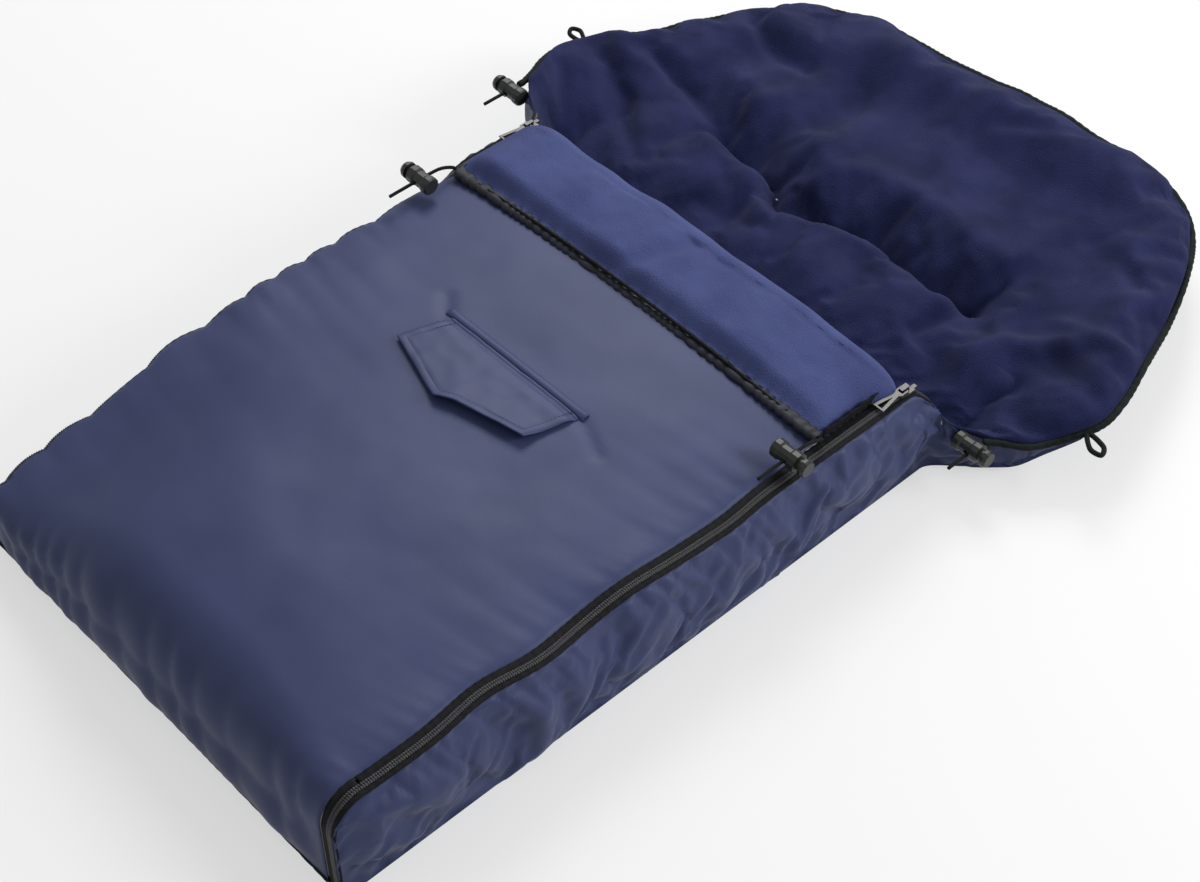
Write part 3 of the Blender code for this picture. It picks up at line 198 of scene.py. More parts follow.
# Soft folds of the hood's fleece: the line of each, its height and its half width
FOLDS = (
    (((-0.066, 0.222), (-0.066, 0.187), (-0.069, 0.146)), -0.007, 0.011),
    (((-0.109, 0.275), (-0.091, 0.314), (-0.084, 0.359)), -0.010, 0.026),
    (((-0.079, 0.392), (-0.066, 0.345), (-0.060, 0.302)), 0.005, 0.020),
    (((-0.211, 0.379), (-0.153, 0.391), (-0.095, 0.414)), 0.006, 0.018),
    (((-0.225, 0.364), (-0.198, 0.354), (-0.156, 0.359)), -0.006, 0.012),
    (((-0.243, 0.300), (-0.190, 0.300), (-0.150, 0.285)), 0.005, 0.020),
    (((-0.260, 0.262), (-0.205, 0.262), (-0.165, 0.250)), -0.005, 0.012),
    (((-0.296, 0.228), (-0.243, 0.207), (-0.171, 0.163)), -0.005, 0.012),
    (((-0.270, 0.200), (-0.225, 0.175), (-0.180, 0.140)), 0.005, 0.014),
    (((-0.289, 0.177), (-0.236, 0.150)), -0.004, 0.010),
    (((-0.150, 0.225), (-0.120, 0.195), (-0.110, 0.150)), 0.004, 0.020),
    (((0.192, 0.118), (0.188, 0.160), (0.207, 0.215), (0.242, 0.240)), 0.009, 0.013),
    (((0.208, 0.130), (0.219, 0.160), (0.238, 0.188)), -0.008, 0.012),
    (((0.144, 0.244), (0.149, 0.278)), -0.005, 0.007),
    (((0.150, 0.240), (0.146, 0.210), (0.139, 0.180)), -0.005, 0.008),
    (((0.028, 0.414), (0.068, 0.429), (0.097, 0.455)), -0.004, 0.009),
    (((0.180, 0.360), (0.215, 0.345), (0.240, 0.330)), -0.003, 0.010),
    (((0.225, 0.262), (0.262, 0.258), (0.295, 0.262)), 0.004, 0.010),
    (((0.235, 0.232), (0.270, 0.222), (0.297, 0.212)), -0.004, 0.009),
    (((-0.020, 0.440), (-0.030, 0.400), (-0.020, 0.360)), -0.003, 0.016),
)


# Shapes of cloth
def smooth(share):
    """Rises from 0 to 1 with level ends."""
    share = np.clip(share, 0, 1)
    return share * share * (3 - 2 * share)


def hill(away, width):
    """A round hill of height 1, at a distance from its top."""
    return np.exp(-((away / width) ** 2))


def swells(x, y, size, seed):
    """Soft uneven swells about one unit high, whose longest are as long as the size."""
    total = np.zeros(np.broadcast(x, y).shape)
    for k in range(6):
        angle = 1.7 * seed + 2.4 * k
        length = size / (1 + 0.35 * k)
        across = x * math.cos(angle) + y * math.sin(angle)
        along = y * math.cos(angle) - x * math.sin(angle)
        bent = 1.3 * np.sin(2 * math.pi * along / (1.7 * length) + k + seed)
        total += np.sin(2 * math.pi * across / length + bent + 5.1 * k * seed) / (1 + 0.5 * k)
    return total / 3


def pleats(along, size, seed):
    """Uneven gathers along a seam, from -1 in each sharp valley to 1 on each round top."""
    uneven = 0.6 * np.sin(along / (2.3 * size) + seed) + 0.35 * np.sin(along / (0.9 * size) + 2 * seed)
    return 2 * np.abs(np.sin(math.pi * (along / size + uneven))) ** 0.8 - 1


def from_line(x, y, line):
    """Distance from a line of straight runs in plan."""
    away = np.full(np.broadcast(x, y).shape, 1.0)
    for start, end in zip(line, line[1:]):
        along = (end[0] - start[0], end[1] - start[1])
        share = ((x - start[0]) * along[0] + (y - start[1]) * along[1]) / (along[0] ** 2 + along[1] ** 2)
        share = np.clip(share, 0, 1)
        gone = np.hypot(x - start[0] - share * along[0], y - start[1] - share * along[1])
        away = np.minimum(away, gone)
    return away


def settle(points):
    """How the bag lies: its far foot corner has sunk, its far zip has rolled over, and both wander."""
    x, y, z = points[..., X], points[..., Y], points[..., Z]
    sunk = 0.50 * smooth((-0.22 - y) / 0.26) * smooth((-0.03 - x) / 0.18)
    away = np.abs(x)
    by_zip = hill(away - CHAIN_X, 0.03) * smooth((-0.06 - y) / 0.06)
    by_zip = by_zip * smooth((y - FOOT_Y) / 0.05) * smooth(z / 0.06)
    side = np.where(x > 0, 0.6, 4.2)
    wander = 0.0026 * by_zip * np.sin(y / 0.024 + 1.2 * np.sin(y / 0.05) + side)
    heave = 0.0020 * by_zip * np.sin(y / 0.029 + 1.1 * np.sin(y / 0.037) + 2 * side)
    rolled = smooth((0.015 - y) / 0.05) * smooth((z - 0.045) / 0.035) * (x < 0)
    scallop = 0.0022 * pleats(y, 0.048, 2.0) * smooth((away - 0.17) / 0.03)
    outwards = np.interp(away, (0.15, 0.19, 0.2055, 0.2144, 0.2235), (0.0, 0.006, 0.0085, 0.002, -0.0035))
    down = np.interp(away, (0.185, 0.2055, 0.2144, 0.2235), (0.0, 0.0015, 0.0090, 0.0170))
    points[..., X] += wander + np.sign(x) * rolled * (outwards + scallop)
    points[..., Z] = (z - rolled * down + heave) * (1 - sunk)
    return points


def stacked(x, y, z):
    """One array of points from arrays of places."""
    return np.stack(np.broadcast_arrays(x, y, z), axis=-1).astype(float)


def mixed(start, end, share):
    """Points between two others."""
    return start + (end - start) * share


def unit(arrows):
    """Arrows of length 1."""
    return arrows / np.linalg.norm(arrows, axis=1)[:, None]


# Materials
def blank(name):
    """A new material with its nodes and its links."""
    made = bpy.data.materials.new(name)
    made.use_nodes = True
    return made, made.node_tree.nodes, made.node_tree.links


def put(node, values):
    """Gives inputs of a node their values, by name."""
    for name, value in values.items():
        node.inputs[name].default_value = value


def noise(nodes, links, scale, detail):
    """A noise texture in the object's own metres."""
    texture = nodes.new("ShaderNodeTexNoise")
    put(texture, {"Scale": scale, "Detail": detail})
    links.new(nodes.new("ShaderNodeTexCoord").outputs["Object"], texture.inputs["Vector"])
    return texture.outputs["Fac"]


def between(nodes, links, share, dark, light):
    """A colour between two others."""
    colour = nodes.new("ShaderNodeMix")
    colour.data_type = "RGBA"
    put(colour, {"A": (*dark, 1), "B": (*light, 1)})
    links.new(share, colour.inputs["Factor"])
    return colour.outputs["Result"]


def raise_grain(nodes, links, grain, detail, depth):
    """A fine uneven surface of a given depth."""
    bump = nodes.new("ShaderNodeBump")
    put(bump, {"Strength": 1, "Distance": depth})
    links.new(noise(nodes, links, grain, detail), bump.inputs["Height"])
    links.new(bump.outputs["Normal"], nodes["Principled BSDF"].inputs["Normal"])


def cloth(name, light, dark, roughness, patch, grain, depth, specular, sheen=0.0):
    """Cloth with a patchy colour and a fine raised grain. Patch and grain are counts per metre."""
    made, nodes, links = blank(name)
    shader = nodes["Principled BSDF"]
    patches = nodes.new("ShaderNodeMapRange")
    put(patches, {"From Min": 0.35, "From Max": 0.65})
    links.new(noise(nodes, links, patch, 8), patches.inputs["Value"])
    links.new(between(nodes, links, patches.outputs["Result"], dark, light), shader.inputs["Base Color"])
    raise_grain(nodes, links, grain, 3, depth)
    put(shader, {"Roughness": roughness, "Specular IOR Level": specular})
    put(shader, {"Sheen Weight": sheen, "Sheen Roughness": 0.5})
    return made


def solid(name, colour, roughness, metallic=0.0, depth=0.0):
    """A plain material, with an uneven surface if that has a depth."""
    made, nodes, links = blank(name)
    put(nodes["Principled BSDF"], {"Base Color": (*colour, 1), "Roughness": roughness, "Metallic": metallic})
    if depth:
        raise_grain(nodes, links, 900, 2, depth)
    return made


SHELL_CLOTH = cloth("shell_cloth", (0.055, 0.069, 0.166), (0.047, 0.060, 0.146), 0.5, 11, 1500, 0.0001, 0.24)
# Two colours of one fleece: the cuff's lighter colour is partly painted light, for the lit cuff, and partly
# the pile's brushed direction, which darkens the head's
HEAD_FLEECE = cloth(
    "head_fleece", (0.023, 0.028, 0.096), (0.013, 0.016, 0.060), 0.95, 24, 850, 0.0009, 0.08, sheen=0.07
)
CUFF_FLEECE_LIT_AND_PILE = cloth(
    "cuff_fleece", (0.076, 0.096, 0.250), (0.060, 0.075, 0.205), 0.95, 24, 850, 0.0009, 0.08, sheen=0.08
)
WADDING = cloth("wadding", (0.80, 0.80, 0.79), (0.70, 0.70, 0.69), 0.95, 60, 300, 0.001, 0.2)
ZIP_TAPE = cloth("zip_tape_cloth", (0.012, 0.012, 0.015), (0.007, 0.007, 0.009), 0.8, 200, 1600, 0.0002, 0.2)
BINDING_CLOTH = cloth(
    "binding_cloth", (0.008, 0.013, 0.014), (0.004, 0.007, 0.008), 0.75, 120, 900, 0.0004, 0.2
)
HEM_CLOTH = cloth("hem_cloth", (0.026, 0.028, 0.044), (0.012, 0.013, 0.021), 0.55, 120, 1100, 0.0003, 0.4)
EDGE_CLOTH = cloth("edge_cloth", (0.018, 0.021, 0.050), (0.012, 0.014, 0.034), 0.7, 60, 1400, 0.0002, 0.2)
CORD_YARN = cloth("cord_yarn", (0.010, 0.011, 0.012), (0.005, 0.006, 0.006), 0.8, 300, 1500, 0.0004, 0.2)
COIL = solid("zip_coil", (0.030, 0.030, 0.034), 0.42)
METAL = solid("slider_metal", (0.115, 0.113, 0.112), 0.45, 1.0, 0.00006)
PLASTIC = solid("lock_plastic", (0.022, 0.025, 0.022), 0.42, 0.0, 0.00004)
STEEL = solid("spring_wire", (0.55, 0.55, 0.55), 0.3, 1.0)
THREAD = solid("thread", (0.016, 0.018, 0.036), 0.7)
WHITE_THREAD = solid("white_thread", (0.80, 0.80, 0.78), 0.7)


# Mesh makers
def add_object(name, data):
    """A new object in the scene."""
    made = bpy.data.objects.new(name, data)
    bpy.context.scene.collection.objects.link(made)
    return made


def finish_mesh(name, verts, faces, material):
    """An object from points and faces, smooth shaded, with its faces turned outwards."""
    data = bpy.data.meshes.new(name)
    data.from_pydata(verts.tolist(), [], faces if isinstance(faces, list) else faces.tolist())
    data.materials.append(material)
    shape = bmesh.new()
    shape.from_mesh(data)
    bmesh.ops.recalc_face_normals(shape, faces=shape.faces[:])
    shape.to_mesh(data)
    shape.free()
    data.shade_smooth()
    return add_object(name, data)


def numbered(grid, closed=()):
    """The numbers of a grid's points. Along a closed axis the first comes again after the last."""
    index = np.arange(grid.shape[0] * grid.shape[1]).reshape(grid.shape[:2])
    return np.pad(index, [(0, int(axis in closed)) for axis in (0, 1)], mode="wrap")


def quads(index):
    """The faces between neighbours in a grid of point numbers."""
    corners = (index[:-1, :-1], index[:-1, 1:], index[1:, 1:], index[1:, :-1])
    return np.stack(corners, axis=-1).reshape(-1, 4)


def skin(name, outer, inner, material):
    """A closed sheet between two grids of points."""
    index = numbered(outer)
    count = index.size
    over = quads(index)
    under = over[:, ::-1] + count
    rim = np.concatenate((index[0, :-1], index[:-1, -1], index[-1, :0:-1], index[:0:-1, 0]))
    after = np.roll(rim, -1)
    edge = np.stack((rim, rim + count, after + count, after), axis=-1)
    verts = np.concatenate((outer.reshape(-1, 3), inner.reshape(-1, 3)))
    return finish_mesh(name, verts, np.concatenate((over, under, edge)), material)


def capped(name, rings, material):
    """A closed solid through rings of points, with its first and last ring filled."""
    index = numbered(rings, closed=(1,))
    faces = quads(index).tolist()
    faces.append(index[0, :-1].tolist())
    faces.append(index[-1, :-1].tolist())
    return finish_mesh(name, rings.reshape(-1, 3), faces, material)


def tube(name, path, radii, sides, material, up=(0, 0, 1), turn=0.0):
    """A closed tube along a path. Radii is one value, or one for each point and side."""
    path = np.array(path, dtype=float)
    along = unit(np.gradient(path, axis=0))
    side = unit(np.cross(along, np.array(up, dtype=float)))
    top = np.cross(side, along)
    angles = turn + 2 * math.pi * np.arange(sides) / sides
    radii = np.broadcast_to(radii, (len(path), sides))[..., None]
    round_it = np.cos(angles)[None, :, None] * side[:, None] + np.sin(angles)[None, :, None] * top[:, None]
    return capped(name, path[:, None] + radii * round_it, material)


def run_lengths(path):
    """How far along a path each of its points is."""
    return np.concatenate(([0], np.cumsum(np.linalg.norm(np.diff(path, axis=0), axis=1))))


def evenly(path, step):
    """A path with points at even distances."""
    lengths = run_lengths(path)
    places = np.linspace(0, lengths[-1], int(lengths[-1] / step) + 1)
    return np.stack([np.interp(places, lengths, path[:, axis]) for axis in range(3)], axis=1)


def through(points, steps):
    """A smooth curve through a list of points."""
    points = np.array(points, dtype=float)
    padded = np.concatenate((points[:1], points, points[-1:]))
    found = []
    for k in range(1, len(points)):
        before, start, end, after = padded[k - 1:k + 3]
        for step in range(steps):
            t = step / steps
            found.append(
                (2 * start + (end - before) * t + (2 * before - 5 * start + 4 * end - after) * t**2
                 + (3 * start - before - 3 * end + after) * t**3) / 2
            )
    found.append(points[-1])
    return np.array(found)


def buckled(name, grid, held, bending, growth, most):
    """How a padded cloth's points move when the cloth is a little too large for what holds it.

    The grid holds its points, and held says which of them stay. Growth is how much too large the cloth is,
    as a share, and most is how far a point may move.
    """
    index = numbered(grid)
    data = bpy.data.meshes.new(name)
    data.from_pydata(grid.reshape(-1, 3).tolist(), [], quads(index).tolist())
    piece = add_object(name, data)
    piece.vertex_groups.new(name="held").add(index[held].tolist(), 1.0, "REPLACE")
    cloth_step = piece.modifiers.new("buckle", "CLOTH")
    settings = cloth_step.settings
    settings.quality = 5
    settings.mass = 0.15
    settings.tension_stiffness = 15
    settings.compression_stiffness = 15
    settings.shear_stiffness = 5
    settings.bending_stiffness = bending
    settings.shrink_min = -growth
    settings.use_pressure = True
    settings.uniform_pressure_force = 3.0
    settings.vertex_group_mass = "held"
    settings.effector_weights.gravity = 0
    cloth_step.collision_settings.use_collision = False
    cloth_step.point_cache.frame_start = 1
    cloth_step.point_cache.frame_end = BUCKLE_FRAMES
    for frame in range(1, BUCKLE_FRAMES + 1):
        bpy.context.scene.frame_set(frame)
    made = piece.evaluated_get(bpy.context.evaluated_depsgraph_get()).to_mesh()
    places = np.empty(grid.size)
    made.vertices.foreach_get("co", places)
    moved = places.reshape(grid.shape) - grid
    bpy.data.objects.remove(piece)
    bpy.data.meshes.remove(data)
    bpy.context.scene.frame_set(1)
    far = np.linalg.norm(moved, axis=-1, keepdims=True)
    return moved * np.minimum(1, most / np.maximum(far, 1e-9))


def spread(moves, rows, columns, row_places, column_places):
    """Moves of a coarse grid, at finer places along its rows and columns."""
    down = np.interp(row_places, rows, np.arange(len(rows)))
    across = np.interp(column_places, columns, np.arange(len(columns)))
    down, across = np.broadcast_arrays(down, across)
    row = np.clip(down.astype(int), 0, len(rows) - 2)
    column = np.clip(across.astype(int), 0, len(columns) - 2)
    below, beside = (down - row)[..., None], (across - column)[..., None]
    start = mixed(moves[row, column], moves[row, column + 1], beside)
    end = mixed(moves[row + 1, column], moves[row + 1, column + 1], beside)
    return mixed(start, end, below)


def finished(node, material):
    """Gives a node of the frame its material."""
    bpy.data.objects[node].material_slots[0].material = material


def dressed(nodes):
    """Hides the frame's nodes that a piece stands for."""
    if nodes:
        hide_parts(*nodes)


def placed(piece, finish, body, *nodes):
    """A piece that rides on one body."""
    dressed(nodes)
    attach(piece, body)


def bent(piece, finish, hinge, *nodes):
    """A piece that stays where it is made, on no body. Its hinge, with a start and an end, is not used."""
    dressed(nodes)
    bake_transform(piece)


# The hood's outline and its two faces
def drawn_in(line, distance):
    """One side of the hood's outline moved inwards by a distance."""
    along = np.gradient(line, axis=0)
    moved = line - distance * unit(np.stack((along[:, Y], -along[:, X], 0 * along[:, X]), axis=1))
    moved[:, X] = np.maximum(moved[:, X], 0)
    return moved


RIMS = {}
RIMS_INSIDE = {}
for side, sign in SIDES:
    corners = [(wide, HINGE_Y + HOOD_LENGTH * along, 0) for wide, along in STARTS[sign]]
    corners += [(HOOD_X * wide, HINGE_Y + HOOD_LENGTH * along, 0) for wide, along in RIM_SHARES]
    RIMS[sign] = through(corners, 10)
    RIMS_INSIDE[sign] = drawn_in(RIMS[sign], 2 * BINDING + GAP)
LAST_Y = RIMS_INSIDE[1][-1, Y]


def half_width(y, sign):
    """Half the hood's width inside its binding on one side, at a distance along it."""
    widths = [np.interp(y, line[:, Y], line[:, X]) for line in (RIMS_INSIDE[-1], RIMS_INSIDE[1])]
    return np.where(sign < 0, widths[0], widths[1])


def hood_floor(x, y):
    """Height of the hood's under face: level in the middle and lifted towards the rim."""
    floors = []
    opened = smooth((y - HINGE_Y) / WING_START_LENGTH)
    for sign in (-1, 1):
        line = [(corner[X], corner[Y]) for corner in RIMS[sign][::5]]
        away = from_line(np.abs(x), y, line) - 2 * BINDING - GAP
        start_width, start_rise = WING_STARTS[sign]
        wide = start_width + (WING_WIDTH - start_width) * opened
        rise = HOOD_RISE * (start_rise + (1 - start_rise) * opened)
        floors.append(rise * (1 - smooth(away / (wide - 2 * BINDING))))
    far = smooth((0.04 - x) / 0.14) * smooth((y - 0.23) / 0.09)
    tip = smooth((y - 0.34) / 0.10)
    wave = 0.05 * swells(x, y, 0.11, 5) * smooth((y - 0.22) / 0.06)
    dip = 0.16 * hill(y - 0.162, 0.028) * (x > 0)
    return np.where(x < 0, floors[0], floors[1]) * (1 - 0.26 * far - 0.10 * tip - dip + wave)


def hood_relief(x, y):
    """The seam's valley, the puffs beside it, and the folds that run to the rim."""
    away = from_line(x, y, VALLEY)
    seam = np.interp(x, [point[0] for point in VALLEY], [point[1] for point in VALLEY])
    head = smooth((y - seam + 0.004) / 0.008)
    ends = smooth((0.168 - np.abs(x)) / 0.03)
    steep = 0.0150 * hill(away, 0.022)
    gentle = 0.0130 * hill(away, 0.010)
    valley = gentle + (steep - gentle) * head + 0.0080 * np.exp(-away / 0.0035)
    puff = 0.0080 * hill(away - 0.048, 0.026) * head
    puff = puff + 0.0090 * hill(away - 0.022, 0.016) * (1 - head)
    folds = 0.0024 * swells(x, y, 0.15, 2) + 0.0010 * swells(x, y, 0.06, 6)
    for line, height, wide in FOLDS:
        folds = folds + 1.3 * height * hill(from_line(x, y, line), wide)
    edge = np.minimum(half_width(y, x) - np.abs(x), LAST_Y - y)
    angle = np.arctan2(y - 0.24, x)
    radial = 0.0012 * pleats(0.22 * angle, 0.024, 3) * hill(edge - 0.016, 0.014)
    drawn = -0.0022 * np.exp(-np.maximum(edge, 0) / 0.004)
    return (puff - valley) * ends + (folds + radial) * smooth(edge / 0.02) + drawn


def hood_thickness(x, y):
    """The hood's padding, thin at the rim and puffed in the middle."""
    across = 1 - np.clip(np.abs(x) / np.maximum(half_width(y, x), 0.01), 0, 1) ** 5
    tip = 1 - smooth((y - TIP_Y + 0.070) / 0.062) ** 2
    start = smooth((y - HINGE_Y - 0.01) / 0.06)
    thickness = HOOD_EDGE + across * tip * (HOOD_CROWN + 0.002 * start) + hood_relief(x, y) * start
    return 0.5 * (thickness + 0.005 + np.sqrt((thickness - 0.005) ** 2 + 0.003**2))


def fleece_top(x, y):
    """Height of the hood's fleece."""
    return hood_floor(x, y) + hood_thickness(x, y)


def rise_at(y):
    """Height of the side walls' upper edge over the foot's bend and the straight run."""
    within = np.clip((BEND_Y - y) / (BEND_Y - FOOT_Y), 0, 1)
    radius = BEND_Y - FOOT_Y
    return ZIP_Z - 0.0026 - radius * (1 - np.sqrt(1 - within**2))


def side_edge(y, inside, sign):
    """Upper edge of a side wall: straight beside the zip, leaning out and down beyond the slider."""
    lean = smooth((y - 0.080) / 0.044)
    start_x = PAD_X if inside else BAG_X
    out, end_z = np.where(sign < 0, 0.030, 0.016), np.where(sign < 0, 0.080, 0.052)
    end_x = BAG_X + out - (0.009 if inside else 0)
    return mixed(start_x, end_x, lean), mixed(rise_at(y), end_z + (0.002 if inside else 0), lean)


def wall_relief(y, share, seed):
    """Creases of a side wall before its cloth buckles, along it and from its bottom to its top."""
    middle = np.sin(math.pi * share) ** 0.6
    lean = 0.045 * share
    creases = 0.0034 * swells(y + lean, 0.11 * share, 0.095, 4 + seed)
    creases = creases + 0.0024 * swells(y - lean, 0.06 * share, 0.045, 2 + seed)
    gathers = 0.0014 * pleats(y + lean, 0.019, seed) * np.exp(-(1 - share) / 0.20)
    ends = smooth((y - FOOT_Y) / 0.03) * smooth((HINGE_Y + 0.02 - y) / 0.05)
    return (0.0040 * middle + creases * middle + gathers * smooth((1 - share) / 0.03)) * ends


def skirt(y, sign):
    """How far the hood's under face hangs straight down from its binding at its start."""
    near = np.interp(y, (0.120, 0.150, 0.190, 0.215), (0.040, 0.025, 0.006, 0.0))
    far = np.interp(y, (0.120, 0.150, 0.190, 0.215), (0.060, 0.030, 0.006, 0.0))
    return np.where(sign > 0, near, far)


def hood_under(s, y):
    """The hood's outer face: it lies flat, rises towards the rim and ends upright where it starts."""
    sign = np.sign(s)
    rim_x = half_width(y, sign)
    rim_z = hood_floor(sign * rim_x, y)
    hang = np.minimum(skirt(y, sign), rim_z)
    corner_x = rim_x - 0.006 * smooth(hang / 0.02)
    flat = np.clip(np.abs(s) / FLAT_SHARE, 0, 1)
    up = np.clip((np.abs(s) - FLAT_SHARE) / WALL_SHARE, 0, 1)
    plain_x = np.abs(s) * rim_x
    share = smooth(hang / 0.006)
    x = mixed(plain_x, corner_x * flat + (rim_x - corner_x) * up, share)
    floor_z = hood_floor(sign * np.minimum(x, corner_x), y)
    corner_z = hood_floor(sign * corner_x, y)
    low_z = floor_z * (rim_z - hang) / np.maximum(corner_z, 0.001)
    hung_z = np.where(up > 0, rim_z - hang * (1 - up), low_z)
    z = mixed(hood_floor(sign * x, y), hung_z, share)
    x = x + share * 0.004 * np.sin(math.pi * up)
    return x, z


def body_face(s, y, inside):
    """The bag's and the hood's cloth. s runs from -1 to 1 across it, up one wall and down the other."""
    x_share = np.abs(s)
    sign = np.sign(s)
    edge_x, edge_z = side_edge(y, inside, sign)
    up = np.clip((x_share - FLAT_SHARE) / WALL_SHARE, 0, 1)
    flat = np.clip(x_share / FLAT_SHARE, 0, 1)
    corner_x = PAD_X if inside else BAG_X
    if inside:
        level = BACK_EDGE + BACK_CROWN * (1 - flat**4) * smooth((y - FOOT_Y) / 0.06)
        level = level + 0.0020 * swells(s * 0.25, y, 0.11, 8) * (1 - flat**6)
        relief = 0
        hood_x = x_share * half_width(y, sign)
        hood_z = fleece_top(sign * hood_x, y)
    else:
        level = 0
        relief = np.where(sign > 0, wall_relief(y, up, 1), wall_relief(y, up, 3)) * (up > 0)
        hood_x, hood_z = hood_under(s, y)
    bag_x = corner_x * flat + (edge_x - corner_x) * up + relief
    bag_z = level + (edge_z - level) * up
    share = smooth((y - BAG_END) / 0.040)
    points = stacked(sign * mixed(bag_x, hood_x, share), y, mixed(bag_z, hood_z, share))
    if not inside:
        for wall_sign, moves in WALL_MOVES.items():
            moved = spread(moves, WALL_ROWS, WALL_COLUMNS, y, x_share + 0 * y)
            points += moved * ((s * wall_sign > 0) & (up > 0))[..., None]
    elif HOOD_MOVES is not None:
        moved = spread(HOOD_MOVES, HOOD_ROWS, HOOD_COLUMNS, y, s + 0 * y)
        points += moved * (y > HOOD_ROWS[0])[..., None]
    points[..., Z] = np.maximum(points[..., Z], 0)
    return points


def body_rows(step):
    """Places along the bag and the hood, closer together at the foot, at the hinge and at the tip."""
    bag = np.arange(FOOT_Y, HINGE_Y - 0.05, step)
    hinge = np.arange(HINGE_Y - 0.05, HINGE_Y + CLOSE_ROWS, step / 2)
    foot = FOOT_Y + CLOSE_ROWS * (1 - np.cos(np.linspace(0, math.pi / 2, 8)))[:-1]
    hood = np.arange(HINGE_Y + CLOSE_ROWS, LAST_Y - CLOSE_ROWS, step)
    tip = LAST_Y - CLOSE_ROWS * (1 - np.sin(np.linspace(0, math.pi / 2, 14)))
    return np.concatenate((foot, bag[bag > FOOT_Y + CLOSE_ROWS], hinge, hood, tip))


def body_columns(flat_steps, wall_steps):
    """Places across the bag and the hood."""
    flat = np.linspace(0, FLAT_SHARE, flat_steps)
    half = np.concatenate((flat, np.linspace(FLAT_SHARE, 1, wall_steps)[1:]))
    return np.concatenate((-half[:0:-1], half))


def body_layer(name, depths, step, columns, material):
    """One layer of the bag and hood between two shares of their padding."""
    y = body_rows(step)[:, None]
    s = columns[None, :]
    if material is WADDING:
        y = y[y[:, 0] < LAST_Y - 0.005]
        s = 0.978 * s
    outer = body_face(s, y, False)
    inner = body_face(s, y, True)
    inner[..., Y] = np.maximum(inner[..., Y], FOOT_Y + 0.008)
    near, far = depths
    if material is SHELL_CLOTH:
        far = far + 0.30 * (smooth((np.abs(s) - 0.985) / 0.012) * (y < BAG_END))[..., None]
    if material is HEAD_FLEECE:
        rim = np.maximum(smooth((np.abs(s) - 0.984) / 0.010), smooth((y - LAST_Y + 0.0040) / 0.0025))
        near = near - (np.where(y < BAG_END, 0.50, 0.80) * rim)[..., None]
    if material is WADDING:
        by_edge = np.maximum(smooth((np.abs(s) - 0.70) / 0.10), smooth((y - LAST_Y + 0.04) / 0.03))[..., None]
        near, far = near + 0.26 * by_edge, far + 0.20 * by_edge
    return skin(name, settle(mixed(outer, inner, near)), settle(mixed(outer, inner, far)), material)


def hold_rim(held):
    """Holds a grid's outer points too."""
    held[[0, -1]] = True
    held[:, [0, -1]] = True
    return held


# The buckles of both walls, then of the hood's fleece, whose seam stays where it is
WALL_MOVES = {}
WALL_ROWS = body_rows(0.0028)
WALL_ROWS = WALL_ROWS[WALL_ROWS < HINGE_Y + 0.07]
WALL_COLUMNS = np.linspace(FLAT_SHARE, 1, 30)
WALL_HELD = hold_rim(np.zeros((len(WALL_ROWS), len(WALL_COLUMNS)), bool))
WALL_DRAWN_IN = 0.003
WALL_DEEPEST = 0.004
for side, sign in SIDES:
    wall = body_face(sign * WALL_COLUMNS[None, :], WALL_ROWS[:, None], False)
    name = f"wall_buckle_{side}"
    moved = buckled(name, wall[:, ::-sign], WALL_HELD, bending=0.2, growth=0.085, most=0.013)[:, ::-sign]
    moved[..., X] = sign * np.maximum(sign * moved[..., X] - WALL_DRAWN_IN, -WALL_DEEPEST)
    WALL_MOVES[sign] = moved

HOOD_MOVES = None
HOOD_ROWS = np.concatenate((np.arange(0.130, LAST_Y - 0.007, 0.0070), [LAST_Y]))
HOOD_COLUMNS = np.linspace(-1, 1, 92)
hood_pad = body_face(HOOD_COLUMNS[None, :], HOOD_ROWS[:, None], True)
HOOD_HELD = hold_rim(from_line(hood_pad[..., X], hood_pad[..., Y], VALLEY) < 0.0045)
HOOD_MOVES = buckled("hood_buckle", hood_pad, HOOD_HELD, bending=0.25, growth=0.045, most=0.014)


body_shell = body_layer("body_cloth", (0, 0.05), 0.0028, body_columns(20, 34), SHELL_CLOTH)
body_fill = body_layer("body_fill", (0.22, 0.38), 0.004, body_columns(40, 24), WADDING)
body_lining = body_layer("body_fleece", (0.88, 1), 0.0036, body_columns(66, 17), HEAD_FLEECE)


# The harness slots: narrow slits through the hood, with a thin lining in each
def slit_outline(place, shrink):
    """A slit's outline in plan between its two ends, drawn in by a distance."""
    start, end = place
    along = np.array(end) - np.array(start)
    length = np.hypot(*along)
    along = along / length
    share = np.concatenate((np.linspace(0, 1, 13), np.linspace(1, 0, 13)[1:-1]))
    half = np.concatenate((np.ones(13), -np.ones(11))) * np.sin(math.pi * share) ** 0.7
    half = half * (SLIT_WIDTH / 2 - shrink)
    reach = shrink + (length - 2 * shrink) * share
    return start[0] + along[0] * reach - along[1] * half, start[1] + along[1] * reach + along[0] * half


def cut_by(piece, cutter):
    """Takes a cutter's shape out of a piece."""
    step = piece.modifiers.new("cut", "BOOLEAN")
    step.object = cutter
    step.solver = "FAST"
    made = bpy.data.meshes.new_from_object(piece.evaluated_get(bpy.context.evaluated_depsgraph_get()))
    piece.modifiers.clear()
    piece.data = made


def slit_lining(side, place):
    """A thin lining in a slit, from the floor to just under the fleece's top."""
    lines = []
    for shrink, order in ((0.0002, 1), (0.0007, -1)):
        x, y = slit_outline(place, shrink)
        lines += [stacked(x, y, 0.0002), stacked(x, y, fleece_top(x, y) - 0.0012)][::order]
    lines = np.stack(lines)
    faces = quads(numbered(lines, closed=(0, 1)))
    lining = finish_mesh(f"slit_lining_{side}", lines.reshape(-1, 3), faces, HEAD_FLEECE)
    placed(lining, "shell_fabric", "hood", f"slot_lining_{side}")


